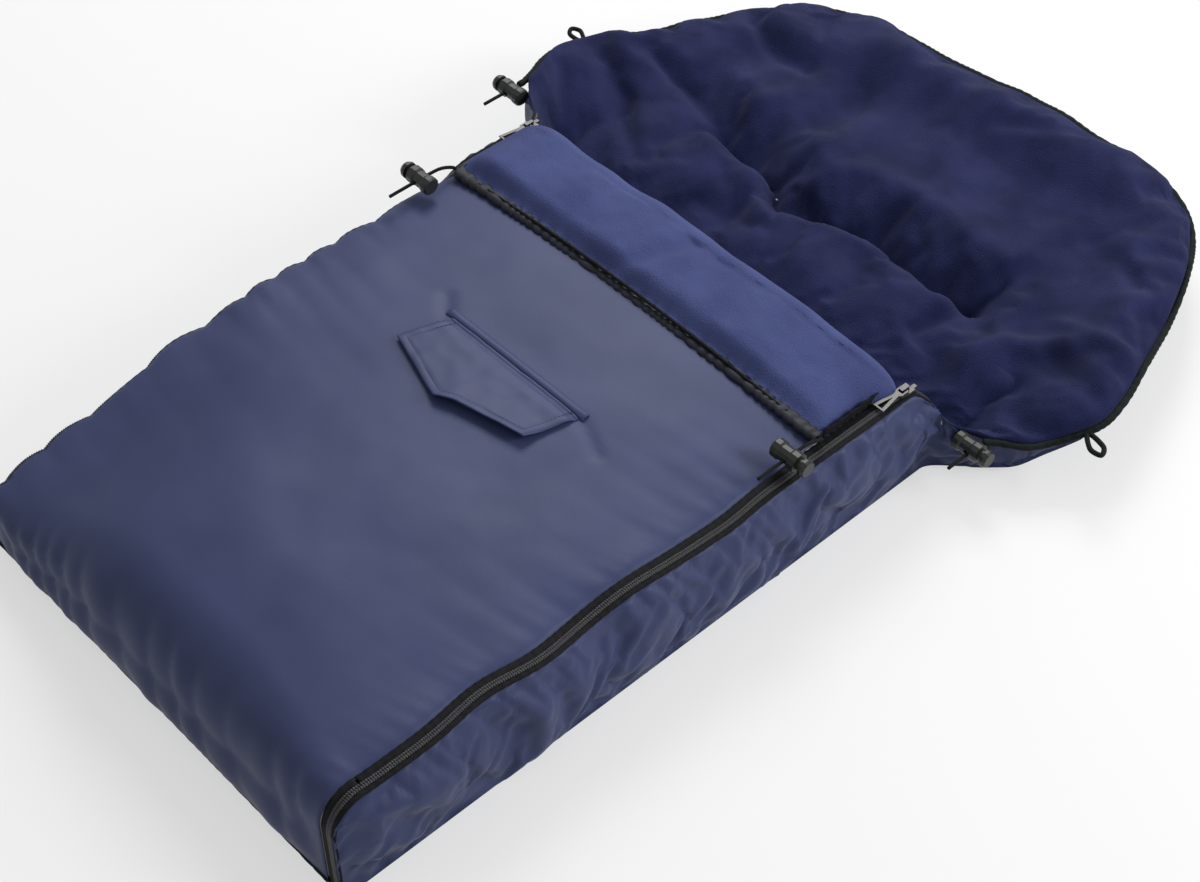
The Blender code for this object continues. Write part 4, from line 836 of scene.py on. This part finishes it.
SLITS = (("left", ((-0.1355, 0.2415), (-0.0725, 0.2375))), ("right", ((0.0735, 0.2388), (0.1355, 0.2400))))
for side, place in SLITS:
    x, y = slit_outline(place, 0)
    cutter = capped(f"slit_cut_{side}", np.stack((stacked(x, y, -0.002), stacked(x, y, 0.08))), HEAD_FLEECE)
    for piece in (body_shell, body_fill, body_lining):
        cut_by(piece, cutter)
    bpy.data.objects.remove(cutter)
    slit_lining(side, place)


def body_nodes(layer):
    """The nodes of one layer of the bag and the hood."""
    return f"back_{layer}", f"hood_{layer}", f"wall_{layer}_left", f"wall_{layer}_right"


HOOD_HINGE = ("bag", "hood", (0, 0.112, 0.03), (0, 0.146, 0.03))
bent(body_shell, "shell_fabric", HOOD_HINGE, *body_nodes("shell"))
bent(body_fill, "wadding", HOOD_HINGE, *body_nodes("wadding"))
bent(body_lining, "fleece", HOOD_HINGE, *body_nodes("lining"))


# The cover and the foot end, one cloth that bends over the foot
def pillow(x):
    """How far the cover's pillow has risen across it, as a share."""
    return np.clip(1 - (np.abs(x) / COVER_X) ** 2.2, 0, 1)


def crown_at(x, y):
    """The same with its fall at the foot and at the fold."""
    crown = pillow(x) * smooth((y - BEND_Y + 0.02) / COVER_ROUNDING)
    fold = 1 - (1 - FOLD_CROWN_SHARE) * smooth((y - FOLD_Y + COVER_ROUNDING) / COVER_ROUNDING)
    return crown * fold


def cover_relief(x, y):
    """Puckers along both zips and soft dents in the middle. It fades out under the cuff."""
    edge = np.maximum(COVER_X - np.abs(x), 0)
    fine = pleats(y + 0.35 * edge + np.sign(x), 0.015, 1) * np.exp(-edge / 0.014)
    long = pleats(y + 0.15 * edge + np.sign(x), 0.037, 2) * np.exp(-edge / 0.045)
    puckers = (0.0009 * fine + 0.0007 * long) * (1 - np.exp(-edge / 0.003))
    seam = -0.0018 * np.exp(-edge / 0.005)
    dents = 0.0016 * swells(x, y, 0.24, 3) + 0.0004 * swells(x, y, 0.085, 5)
    dents = dents * smooth(edge / 0.05)
    pocket = np.maximum(np.abs(x) - POCKET_X, np.maximum(FLAP_LOW_Y - y, y - POCKET_Y))
    calm = 0.35 + 0.65 * smooth(pocket / 0.03)
    left = hill(from_line(x, y, ((-POCKET_X, POCKET_Y), (-0.095, -0.112))), 0.005)
    right = hill(from_line(x, y, ((POCKET_X, POCKET_Y), (0.110, -0.140))), 0.005)
    dimples = -0.0016 * left - 0.0016 * right
    return (puckers + seam + dents * calm + dimples) * smooth((-0.02 - y) / 0.05)


def at_fold(x):
    """Height of the cover beside its fold, where the cuff lies on it."""
    return ZIP_Z + COVER_CROWN * FOLD_CROWN_SHARE * pillow(x)


def cover_top(x, y):
    """Height of the cover's outer face, away from the foot's bend."""
    return ZIP_Z + COVER_CROWN * crown_at(x, y) + cover_relief(x, y)


def cover_face(depth):
    """The cloth from the floor at the foot end to the fold, at a share of the pad's depth."""
    x = np.linspace(-COVER_X, COVER_X, 101)[None, :]
    radius = CORNER_RADIUS + (MIDDLE_RADIUS - CORNER_RADIUS) * (1 - (x / COVER_X) ** 2)
    start = FOOT_Y + radius
    rise = np.linspace(0, 1, 16)[:-1, None]
    face_z = rise * (ZIP_Z - radius)
    turn = np.linspace(0, math.pi / 2, 18)[:-1, None]
    along = np.linspace(0, 1, 120)[:, None]
    flat_y = start + (FOLD_Y - GAP - start) * along
    y = np.concatenate((FOOT_Y + 0 * face_z, start - radius * np.cos(turn), flat_y))
    z = np.concatenate((face_z, ZIP_Z - radius + radius * np.sin(turn), ZIP_Z + 0 * flat_y))
    tilt = np.concatenate((0 * face_z, turn + 0 * x, math.pi / 2 + 0 * flat_y))
    x = x + 0 * y
    edge = np.maximum(COVER_X - np.abs(x), 0)
    over_foot = smooth((y - FOOT_Y) / 0.03)
    face = 0.0055 * np.sin(math.pi * np.clip(z / (ZIP_Z - MIDDLE_RADIUS), 0, 1)) * smooth(edge / 0.06)
    creases = 0.0022 * swells(x, 0.6 * z, 0.09, 7) + 0.0012 * pleats(x + 0.4 * z, 0.030, 2)
    face = (face + creases * smooth(edge / 0.03) * smooth(z / 0.02)) * (1 - over_foot)
    lift = COVER_CROWN * crown_at(x, y) + cover_relief(x, y) * smooth((y - FOOT_Y) / 0.02) + face
    out = lift - depth * (COVER_EDGE + COVER_LOFT * crown_at(x, y))
    return stacked(x, y - np.cos(tilt) * out, np.maximum(z + np.sin(tilt) * out, 0))


FOOT_HINGE = ("foot_panel", "cover", (0, BEND_Y - 0.012, ZIP_Z), (0, BEND_Y + 0.012, ZIP_Z))


def cover_layer(name, depths, material, finish, *nodes):
    """One layer of the cover and foot end, which bends between them over the foot."""
    near, far = depths
    piece = skin(name, settle(cover_face(near)), settle(cover_face(far)), material)
    bent(piece, finish, FOOT_HINGE, *nodes)
    return piece


cover_shell = cover_layer(
    "cover_cloth", (0, 0.08), SHELL_CLOTH, "shell_fabric", "cover_shell", "foot_shell", "pocket_pouch"
)
cover_layer("cover_fill", (0.22, 0.70), WADDING, "wadding", "cover_wadding", "foot_wadding")
cover_layer("cover_fleece", (0.84, 1), CUFF_FLEECE_LIT_AND_PILE, "fleece", "cover_lining", "foot_lining")


# The cuff, the cover's end folded back with its fleece outside
CUFF_HINGE = ("cover", "cuff", (0, FOLD_Y, 0.0925), (0, FOLD_Y, 0.0995))
CUFF_END_Y = HEM_Y + 0.0026
CUFF_TUCK_Y = 0.030
CUFF_CREASE = ((-0.026, -0.012), (-0.006, 0.030), (0.004, 0.060))


def cuff_section(x, side):
    """The cuff's round ends, its swell, and the heights of its under and its upper face."""
    crown = np.clip(1 - side**2.2, 0, 1)
    round_end = np.sqrt(np.clip(1 - side**10, 0, 1))
    base = ZIP_Z + COVER_CROWN * FOLD_CROWN_SHARE * crown
    below = base - (COVER_EDGE + COVER_LOFT * FOLD_CROWN_SHARE * crown + 0.0012) * round_end
    swell = 0.0040 * (1 - side**4) + 0.0016 * swells(x, 0 * x, 0.15, 2)
    swell = swell + 0.0075 * hill(x + 0.192, 0.034) + 0.0012 * smooth(x / 0.1)
    return round_end, swell, below, base + 0.0012 + (0.0130 + swell) * round_end


def cuff_relief(x, y, side, run):
    """Unevenness of the cuff's upper face: soft swells, a bulge along it and one crease."""
    relief = 0.0014 * swells(x, y, 0.100, 9) + 0.0005 * swells(x, y, 0.035, 4)
    crease = -0.0044 * hill(from_line(x, y, CUFF_CREASE), 0.009) - 0.0012 * smooth((x + 0.02) / 0.05)
    bulge = 0.0022 * np.sin(math.pi * np.clip(run, 0, 1)) * (1 - side**6)
    return relief + bulge + crease


def cuff_face(lift):
    """The cuff's fleece as a grid, from its tuck under the cover, round the fold and back to the hem.

    Lift 1 is its outer face and 0 its inner one.
    """
    across_x = np.sin(np.linspace(-math.pi / 2, math.pi / 2, 121))[None, :] * 0.5
    side = 0.5 * np.linspace(-1, 1, 121)[None, :] + across_x
    half_x = np.where(side < 0, COVER_X + 0.0062, COVER_X + 0.0012)
    x = half_x * side
    near_end = smooth((x - 0.12) / 0.08)
    side = np.abs(side)
    round_end, swell, below, above = cuff_section(x, side)
    middle = (above + below) / 2
    half = (above - below) / 2
    fold_y = FOLD_Y - 0.003 + 0.0022 * swells(x, 0 * x, 0.12, 3) - 0.006 * (1 - round_end) * (x < 0)
    fold_y = fold_y + 0.0035 * near_end
    low_run = np.linspace(0, 1, 10)[:-1, None]
    turn = np.linspace(-math.pi / 2, math.pi / 2, 25)[:-1, None]
    high_run = np.linspace(0, 1, 60)[:, None]
    y = np.concatenate(
        (
            CUFF_TUCK_Y + (fold_y - CUFF_TUCK_Y) * low_run,
            fold_y + 0.95 * half * np.cos(turn),
            fold_y + (CUFF_END_Y - fold_y) * high_run,
        )
    )
    z = np.concatenate((below + 0 * low_run, middle + half * np.sin(turn), above + 0 * high_run))
    top_share = np.concatenate((0 * low_run, 0 * turn, high_run)) + 0 * x
    x = x + 0 * y
    run = (FOLD_Y - y) / (FOLD_Y - CUFF_END_Y)
    end = 1 - smooth((run - 0.72) / 0.28) ** 2
    drop = (0.0066 + swell) * round_end * (1 - end) * (top_share > 0)
    gathers = 0.0010 * pleats(x, 0.014, 2) * np.exp(-np.maximum(y - CUFF_END_Y, 0) / 0.008)
    on_top = smooth(top_share / 0.08)
    ends = smooth((half_x - np.abs(x)) / 0.03)
    z = z - drop + cuff_relief(x, y, side, run) * end * on_top * ends + gathers * on_top * ends
    x = x + near_end * mixed(-0.0040, 0.0058, smooth((y - 0.035) / 0.035))
    thin = (1 - lift) * FLEECE * (0.4 + 0.6 * round_end)
    nearer = np.where(top_share > 0, -1, np.where(z < middle, 1, 0))
    turning = (top_share == 0) & (np.abs(z - middle) < half)
    return stacked(x, y - np.where(turning, thin, 0) * 0.7, z + nearer * thin)


cuff_fleece = skin("cuff_fleece", cuff_face(1), cuff_face(0), CUFF_FLEECE_LIT_AND_PILE)
bent(cuff_fleece, "fleece", CUFF_HINGE, "cuff_lining")


def cuff_under(depth, from_end):
    """The cuff's shell cloth and wadding, as a grid at a depth above its under face."""
    x = np.linspace(from_end - COVER_X, COVER_X - from_end, 41)[None, :]
    y = np.linspace(HEM_Y + 0.0100, FOLD_Y - 0.0030, 16)[:, None]
    return stacked(x, y, at_fold(x) + depth)


CUFF_LAYERS = (
    ("cuff_cloth", 0.0014, 0.0006, 0.0020, SHELL_CLOTH, "shell_fabric", "cuff_shell"),
    ("cuff_fill", 0.0046, 0.0018, 0.0120, WADDING, "wadding", "cuff_wadding"),
)
for name, near, far, from_end, material, finish, node in CUFF_LAYERS:
    piece = skin(name, cuff_under(near, from_end), cuff_under(far, from_end), material)
    placed(piece, finish, "cuff", node)


def hem_line(x):
    """The hem's middle line across the cover."""
    height = at_fold(x) + 0.0048 + 0.0005 * swells(x, 0 * x, 0.05, 1)
    return stacked(x, HEM_Y + 0.0008 * swells(x, 0 * x, 0.07, 3), height)


def ruched(name, path, radius, material, size, seed, depth=0.10, flat=0.10):
    """A cloth channel gathered on its cord: a tube with uneven rings of folds."""
    lengths = run_lengths(path)
    angles = 2 * math.pi * np.arange(12) / 12
    folds = pleats(lengths[:, None] + 0.1 * size * np.sin(2 * angles)[None, :], size, seed)
    radii = radius * (1 + depth * folds) * (1 + flat * np.cos(2 * angles))[None, :]
    return tube(name, path, radii, 12, material)


hem_path = hem_line(np.linspace(-COVER_X, COVER_X, 420))
hem = ruched("cuff_edge", hem_path, 0.0045, HEM_CLOTH, size=0.0100, seed=2, depth=0.18, flat=0.28)
placed(hem, "binding", "cuff", "cuff_hem")


# Hood binding, cords and loops
def rim_side(sign):
    """The middle line of the binding on one side, from the hinge to the middle of the tip."""
    line = drawn_in(RIMS[sign], 1.25 * BINDING)
    inner = RIMS_INSIDE[sign]
    line[:, Z] = hood_floor(sign * inner[:, X], inner[:, Y]) + HOOD_EDGE * 0.62
    line[:, Y] = np.maximum(line[:, Y], HINGE_Y)
    line[:, X] *= sign
    return evenly(line, 0.0015)


RIM_PATH = np.concatenate((rim_side(-1)[:-1], rim_side(1)[::-1]))
binding = ruched("rim_binding", RIM_PATH, 1.2 * BINDING, BINDING_CLOTH, size=0.0080, seed=5)
placed(binding, "binding", "hood", "hood_binding")

tail = np.array((0, TAIL_LENGTH, 0)) * np.linspace(1, 0, 20)[:-1, None]
cord_path = np.concatenate((RIM_PATH[0] - tail, RIM_PATH, (RIM_PATH[-1] - tail)[::-1]))
placed(tube("rim_cord", cord_path, CORD_RADIUS, 8, CORD_YARN), "cord", "hood", "hood_drawcord")
finished("cuff_drawcord", CORD_YARN)


def hanging_loop(side, sign):
    """A thick folded loop of cord, sewn under the binding."""
    node = f"hanging_loop_{side}"
    middle = np.array([centre(node, axis) for axis in range(3)])
    base = RIM_PATH[np.argmin(np.linalg.norm(RIM_PATH - middle, axis=1))]
    reach = (high(node, X) if sign > 0 else low(node, X)) - sign * LOOP_RADIUS
    outward = (middle - base) / np.linalg.norm(middle - base)
    along = np.array((-outward[Y], outward[X], 0))
    length = (reach - base[X]) / outward[X]
    corners = [base + length * out * outward + LOOP_HALF_WIDTH * wide * along for out, wide in LOOP_SHARES]
    piece = tube(f"loop_cord_{side}", through(corners, 8), LOOP_RADIUS, 10, CORD_YARN)
    placed(piece, "cord", "hood", node)


for side, sign in SIDES:
    hanging_loop(side, sign)


# The zips: a tape and a coil of teeth on each side of the chain
def chain_line(finer, sign, span):
    """The part of a zip within a span in Y: its places in Y and Z, and how far the wall leans out there."""
    beyond = np.linspace(HINGE_Y - 0.0025, STRAIGHT_END, 14 * finer)[:-1]
    straight = np.linspace(STRAIGHT_END, BEND_Y, 150 * finer)[:-1]
    turn = np.linspace(0, math.pi / 2, 14 * finer)
    radius = BEND_Y - FOOT_Y - 0.0016
    drop = np.linspace(ZIP_Z - BEND_DROP, 0.0008, 14 * finer)[1:]
    y = np.concatenate((beyond, straight, BEND_Y - radius * np.sin(turn), 0 * drop + BEND_Y - radius))
    z = np.concatenate((0 * beyond, 0 * straight, ZIP_Z - BEND_DROP + radius * np.cos(turn), drop))
    edge_x, edge_z = side_edge(y, False, sign)
    line = np.stack((y, np.where(y > BEND_Y, edge_z + 0.0012, z), edge_x - BAG_X))
    return line[:, (y >= span[0]) & (y <= span[1])]


def tape(edges, sign, leaning, span):
    """One half of a zip's tape between two places across, along a span of the chain line.

    Leaning is 1 for a tape that leans out with the wall beyond the slider, and otherwise 0.
    """
    y, z, lean = chain_line(2, sign, span)
    normal = np.stack((np.gradient(z), -np.gradient(y)))
    normal /= np.hypot(*normal)
    across = np.linspace(0, 1, 7)
    x = edges[0] + (edges[1] - edges[0]) * across
    arch = 0.0006 * np.sin(math.pi * across)
    grids = []
    for depth in (0, 0.0009):
        out = arch[None, :] + 0.0002 * np.sin(y / 0.0011)[:, None] - depth
        places_x = x[None, :] + leaning * lean[:, None]
        places_z = np.maximum(z[:, None] + normal[1][:, None] * out, 0.0002)
        grids.append(settle(stacked(sign * places_x, y[:, None] + normal[0][:, None] * out, places_z)))
    return grids


def coil(x, sign, leaning, span, phase):
    """The path and radii of one side of the zip's coil, a fine ribbed tube along the chain."""
    y, z, lean = chain_line(8, sign, span)
    path = evenly(stacked(sign * (x + leaning * lean), y, z + 0.0008), COIL_STEP)
    rib = np.abs(np.sin(math.pi * (COIL_STEP * np.arange(len(path)) / TOOTH_PITCH + phase)))
    around = np.array((1.5, 1.1, 0.8, 1.5, 1.1, 0.8))
    return settle(path), (0.00130 * (0.45 + 0.55 * rib))[:, None] * around[None, :]


def zip_half(side, sign, part, body, span, replaced):
    """A tape with its coil on a wall, on the cover or on the foot end."""
    on_wall = 1 if part == "wall" else 0
    if on_wall:
        edges = (CHAIN_X + 0.0010, BAG_X - 0.0022)
        place = CHAIN_X + 0.0012
    else:
        edges = (CHAIN_X - 0.0010, COVER_X + 0.0001)
        place = CHAIN_X - 0.0012
    over, under = tape(edges, sign, on_wall, span)
    strip = skin(f"{part}_tape_{side}", over, under, ZIP_TAPE)
    path, radii = coil(place, sign, on_wall, span, 0.5 * on_wall)
    teeth = tube(f"{part}_coil_{side}", path, radii, 6, COIL, (1, 0, 0), math.pi / 2)
    placed(strip, "zip_tape", body, replaced)
    placed(teeth, "zip_tape", body)


for side, sign in SIDES:
    zip_half(side, sign, "wall", "bag", (FOOT_Y, BAG_END), f"zip_tape_wall_{side}")
    zip_half(side, sign, "cover", "cover", (BEND_Y + 0.0003, FOLD_Y - 0.0005), f"zip_tape_cover_{side}")
    zip_half(side, sign, "foot", "foot_panel", (FOOT_Y, BEND_Y), f"zip_tape_foot_{side}")
    for part in ("zip_stop", "slider", "pull"):
        finished(f"{part}_{side}", METAL)
    finished(f"zip_tape_cuff_{side}", ZIP_TAPE)
    for lock in ("cuff_lock", "hood_lock"):
        finished(f"{lock}_{side}_barrel", PLASTIC)
        finished(f"{lock}_{side}_plunger", PLASTIC)
        finished(f"{lock}_{side}_spring", STEEL)
        spring = bpy.data.objects[f"{lock}_{side}_spring"]
        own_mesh(spring)


# The dark edge between each slider and the hood's binding
def edge_band(side, sign):
    """A folded strip of cloth over the wall's end, from the slider down to the binding."""
    y = np.linspace(0.0865, HINGE_Y - 0.001, 44)[:, None]
    across = np.linspace(0, 1, 11)[None, :]
    inner, outer = (body_face(np.array(sign * 1.0), y[:, 0], inside)[:, None] for inside in (True, False))
    inner_x = np.abs(inner[..., X]) - 0.0022
    outer_x = np.abs(outer[..., X]) + 0.0012
    inner_z = inner[..., Z] + 0.0009
    outer_z = outer[..., Z] - 0.0006
    thin = smooth((y - 0.096) / 0.025)
    inner_x = mixed(inner_x, outer_x - 0.0008, thin)
    inner_z = mixed(inner_z, outer_z, thin)
    arch = (0.0022 - 0.0019 * thin) * np.sin(math.pi * across)
    arch = arch + 0.0004 * pleats(y + 0.003 * across, 0.011, 2 + sign)
    height = mixed(inner_z, outer_z, across) + arch - 0.0016 * thin
    over = stacked(sign * mixed(inner_x, outer_x, across), y, height)
    band = skin(f"edge_band_{side}", over, over - np.array((0, 0, 0.0010)), EDGE_CLOTH)
    bent(band, "shell_fabric", HOOD_HINGE)


for side, sign in SIDES:
    edge_band(side, sign)


# The pocket: a flap with stitched edges over a welt. Its seam runs between two places in X
FLAP_SEAM = (-0.0690, 0.0756)
FLAP_LOW = ((-0.0825, -0.1720), (-0.0110, -0.1948), (0.0040, -0.1876), (0.0660, -0.1735))
LOW_XS, LOW_YS = zip(*FLAP_LOW)
LOW_SHARES = (-1.0, -0.12, 0.06, 1.0)
FLAP_EDGE = ((FLAP_SEAM[0], POCKET_Y), *FLAP_LOW, (FLAP_SEAM[1], POCKET_Y))


def flap_height(x, y):
    """Height of the flap's under face: it lies on the cover and stands off it along its lower edge."""
    down = np.clip((POCKET_Y - y) / (POCKET_Y - np.interp(x, LOW_XS, LOW_YS)), 0, 1)
    off = 0.0010 + 0.0042 * smooth((x + 0.030) / 0.03) * smooth((0.080 - x) / 0.02)
    return cover_top(x, y) + 0.0014 * smooth(down / 0.3) + off * down**3


def flap_relief(x, y):
    """Unevenness of the flap's cloth."""
    return 0.0006 * swells(x, y, 0.045, 3)


def flap_face(lift):
    """The flap as a grid, at a height over its under face."""
    share = np.linspace(-1, 1, 91)[None, :]
    down = np.linspace(1, 0, 40)[:, None]
    x = mixed(mixed(*FLAP_SEAM, (share + 1) / 2), np.interp(share, LOW_SHARES, LOW_XS), down)
    y = mixed(POCKET_Y - 0.0004, np.interp(share, LOW_SHARES, LOW_YS), down)
    edge = from_line(x, y, FLAP_EDGE)
    seam = -0.0005 * hill(edge - STITCHES_IN, 0.0009)
    seam = seam - 0.0014 * hill(POCKET_Y - y - 0.0035, 0.0022)
    rounded = -0.0006 * np.exp(-edge / 0.0010)
    height = flap_height(x, y) + lift + (seam + rounded) * (lift > 0.001)
    return stacked(x, y, height + flap_relief(x, y))


def inset(corners, distance):
    """A line of straight runs in plan, moved to its left by a distance."""
    corners = np.array(corners)
    along = unit(np.diff(corners, axis=0))
    aside = np.stack((-along[:, 1], along[:, 0]), axis=1)
    moved = [corners[0] + distance * aside[0]]
    for k in range(1, len(along)):
        middle = aside[k - 1] + aside[k]
        moved.append(corners[k] + distance * middle / (1 + aside[k - 1] @ aside[k]))
    moved.append(corners[-1] + distance * aside[-1])
    return np.array(moved)


def stitch_row():
    """A row of stitches along the flap's free edges."""
    corners = inset(FLAP_EDGE, STITCHES_IN)
    line = evenly(np.column_stack((corners, np.zeros(len(corners)))), 0.0007)
    x, y = line[:, X], line[:, Y]
    line[:, Z] = flap_height(x, y) + 0.0018 + flap_relief(x, y)
    gaps = np.arange(len(line)) % 5 == 0
    radii = np.where(gaps, 0.00006, 0.00028)[:, None]
    placed(tube("flap_stitches", line, radii, 6, THREAD), "shell_fabric", "flap")


flap = skin("flap_cloth", flap_face(0.0022), flap_face(0.0006), SHELL_CLOTH)
placed(flap, "shell_fabric", "flap", "pocket_flap")
stitch_row()


def welt_face(lift):
    """The folded strip along the pocket's mouth."""
    x = np.linspace(-POCKET_X - 0.0016, POCKET_X + 0.0016, 61)[None, :]
    across = np.linspace(0, 1, 10)[:, None]
    y = POCKET_Y + 0.0003 + 0.0077 * across
    arch = 0.0016 * np.sin(math.pi * np.clip(across * 1.05, 0, 1)) ** 0.6
    return stacked(x, y, cover_top(x, y) + lift + arch)


welt = skin("pocket_lip", welt_face(0.0008), welt_face(0.0001) - np.array((0, 0, 0.0006)), SHELL_CLOTH)
placed(welt, "shell_fabric", "cover", "pocket_welt")

# A white tack of thread at the end of the left slot
tack_x = np.linspace(-0.0690, -0.0665, 12)
tack_y = 0.2352 - 0.4 * (tack_x + 0.068)
tack_line = stacked(tack_x, tack_y, fleece_top(tack_x, tack_y) + 0.0006)
placed(tube("white_tack", tack_line, 0.0008, 6, WHITE_THREAD), "fleece", "hood")

# A dark ruched strip along the foot end's bottom, where it meets the floor
foot_x = np.linspace(-COVER_X, COVER_X, 160)
foot_line = stacked(foot_x, FOOT_Y + 0.0008 + 0 * foot_x, 0.0024 + 0 * foot_x)
bottom_strip = ruched("foot_bottom_strip", foot_line, 0.0021, BINDING_CLOTH, size=0.012, seed=3)
placed(bottom_strip, "binding", "foot_panel")


# The picture: the lens in millimetres and the roll in degrees
LENS = 68.14
CAMERA_PLACE = (0.9456, -0.8948, 1.3257)
CAMERA_TARGET = (0.0505, -0.0833, 0.03)
CAMERA_ROLL = -0.465
WORLD_LIGHT = 0.37


def aimed(name, data, place, target):
    """A lamp or camera that looks at a target."""
    made = add_object(name, data)
    made.location = place
    made.rotation_euler = (Vector(target) - Vector(place)).to_track_quat("-Z", "Y").to_euler()
    return made


def lamp(name, place, target, width, power):
    """A soft square lamp."""
    data = bpy.data.lights.new(name, "AREA")
    data.size = width
    data.energy = power
    aimed(name, data, place, target)


def studio():
    """A floor that the camera sees as white, soft lamps and the world's even light."""
    data = bpy.data.meshes.new("floor")
    data.from_pydata([(-4, -4, 0), (4, -4, 0), (4, 4, 0), (-4, 4, 0)], [], [(0, 1, 2, 3)])
    made, nodes, links = blank("floor_paint")
    plain = nodes["Principled BSDF"]
    put(plain, {"Roughness": 0.9, "Specular IOR Level": 0.1})
    rays = nodes.new("ShaderNodeLightPath")
    either = nodes.new("ShaderNodeMath")
    either.operation = "MAXIMUM"
    links.new(rays.outputs["Is Camera Ray"], either.inputs[0])
    links.new(rays.outputs["Is Glossy Ray"], either.inputs[1])
    seen = either.outputs["Value"]
    links.new(between(nodes, links, seen, (0.42, 0.42, 0.42), (0.95, 0.95, 0.95)), plain.inputs["Base Color"])
    glow = nodes.new("ShaderNodeEmission")
    put(glow, {"Color": (1, 1, 1, 1)})
    share = nodes.new("ShaderNodeMath")
    share.operation = "MULTIPLY"
    share.inputs[1].default_value = 0.55
    links.new(seen, share.inputs[0])
    both = nodes.new("ShaderNodeMixShader")
    links.new(share.outputs["Value"], both.inputs["Fac"])
    links.new(plain.outputs["BSDF"], both.inputs[1])
    links.new(glow.outputs["Emission"], both.inputs[2])
    links.new(both.outputs["Shader"], nodes["Material Output"].inputs["Surface"])
    data.materials.append(made)
    floor = add_object("floor", data)
    floor.location = (0, 0, -0.0005)
    lamp("key_lamp", (-1.3, 1.5, 2.0), (0, 0, 0.05), width=1.2, power=42)
    lamp("side_lamp", (1.7, 1.2, 1.2), (0.15, 0.2, 0.05), width=0.8, power=27)
    world = bpy.data.worlds.new("studio_world")
    bpy.context.scene.world = world
    world.use_nodes = True
    put(world.node_tree.nodes["Background"], {"Color": (1, 1, 1, 1), "Strength": WORLD_LIGHT})


studio()
camera = bpy.data.cameras.new("camera")
camera.lens = LENS
camera.sensor_width = 36
eye = aimed("camera", camera, CAMERA_PLACE, CAMERA_TARGET)
eye.rotation_euler.rotate_axis("Z", math.radians(CAMERA_ROLL))
bpy.context.scene.camera = eye
bpy.context.scene.view_settings.view_transform = "Standard"
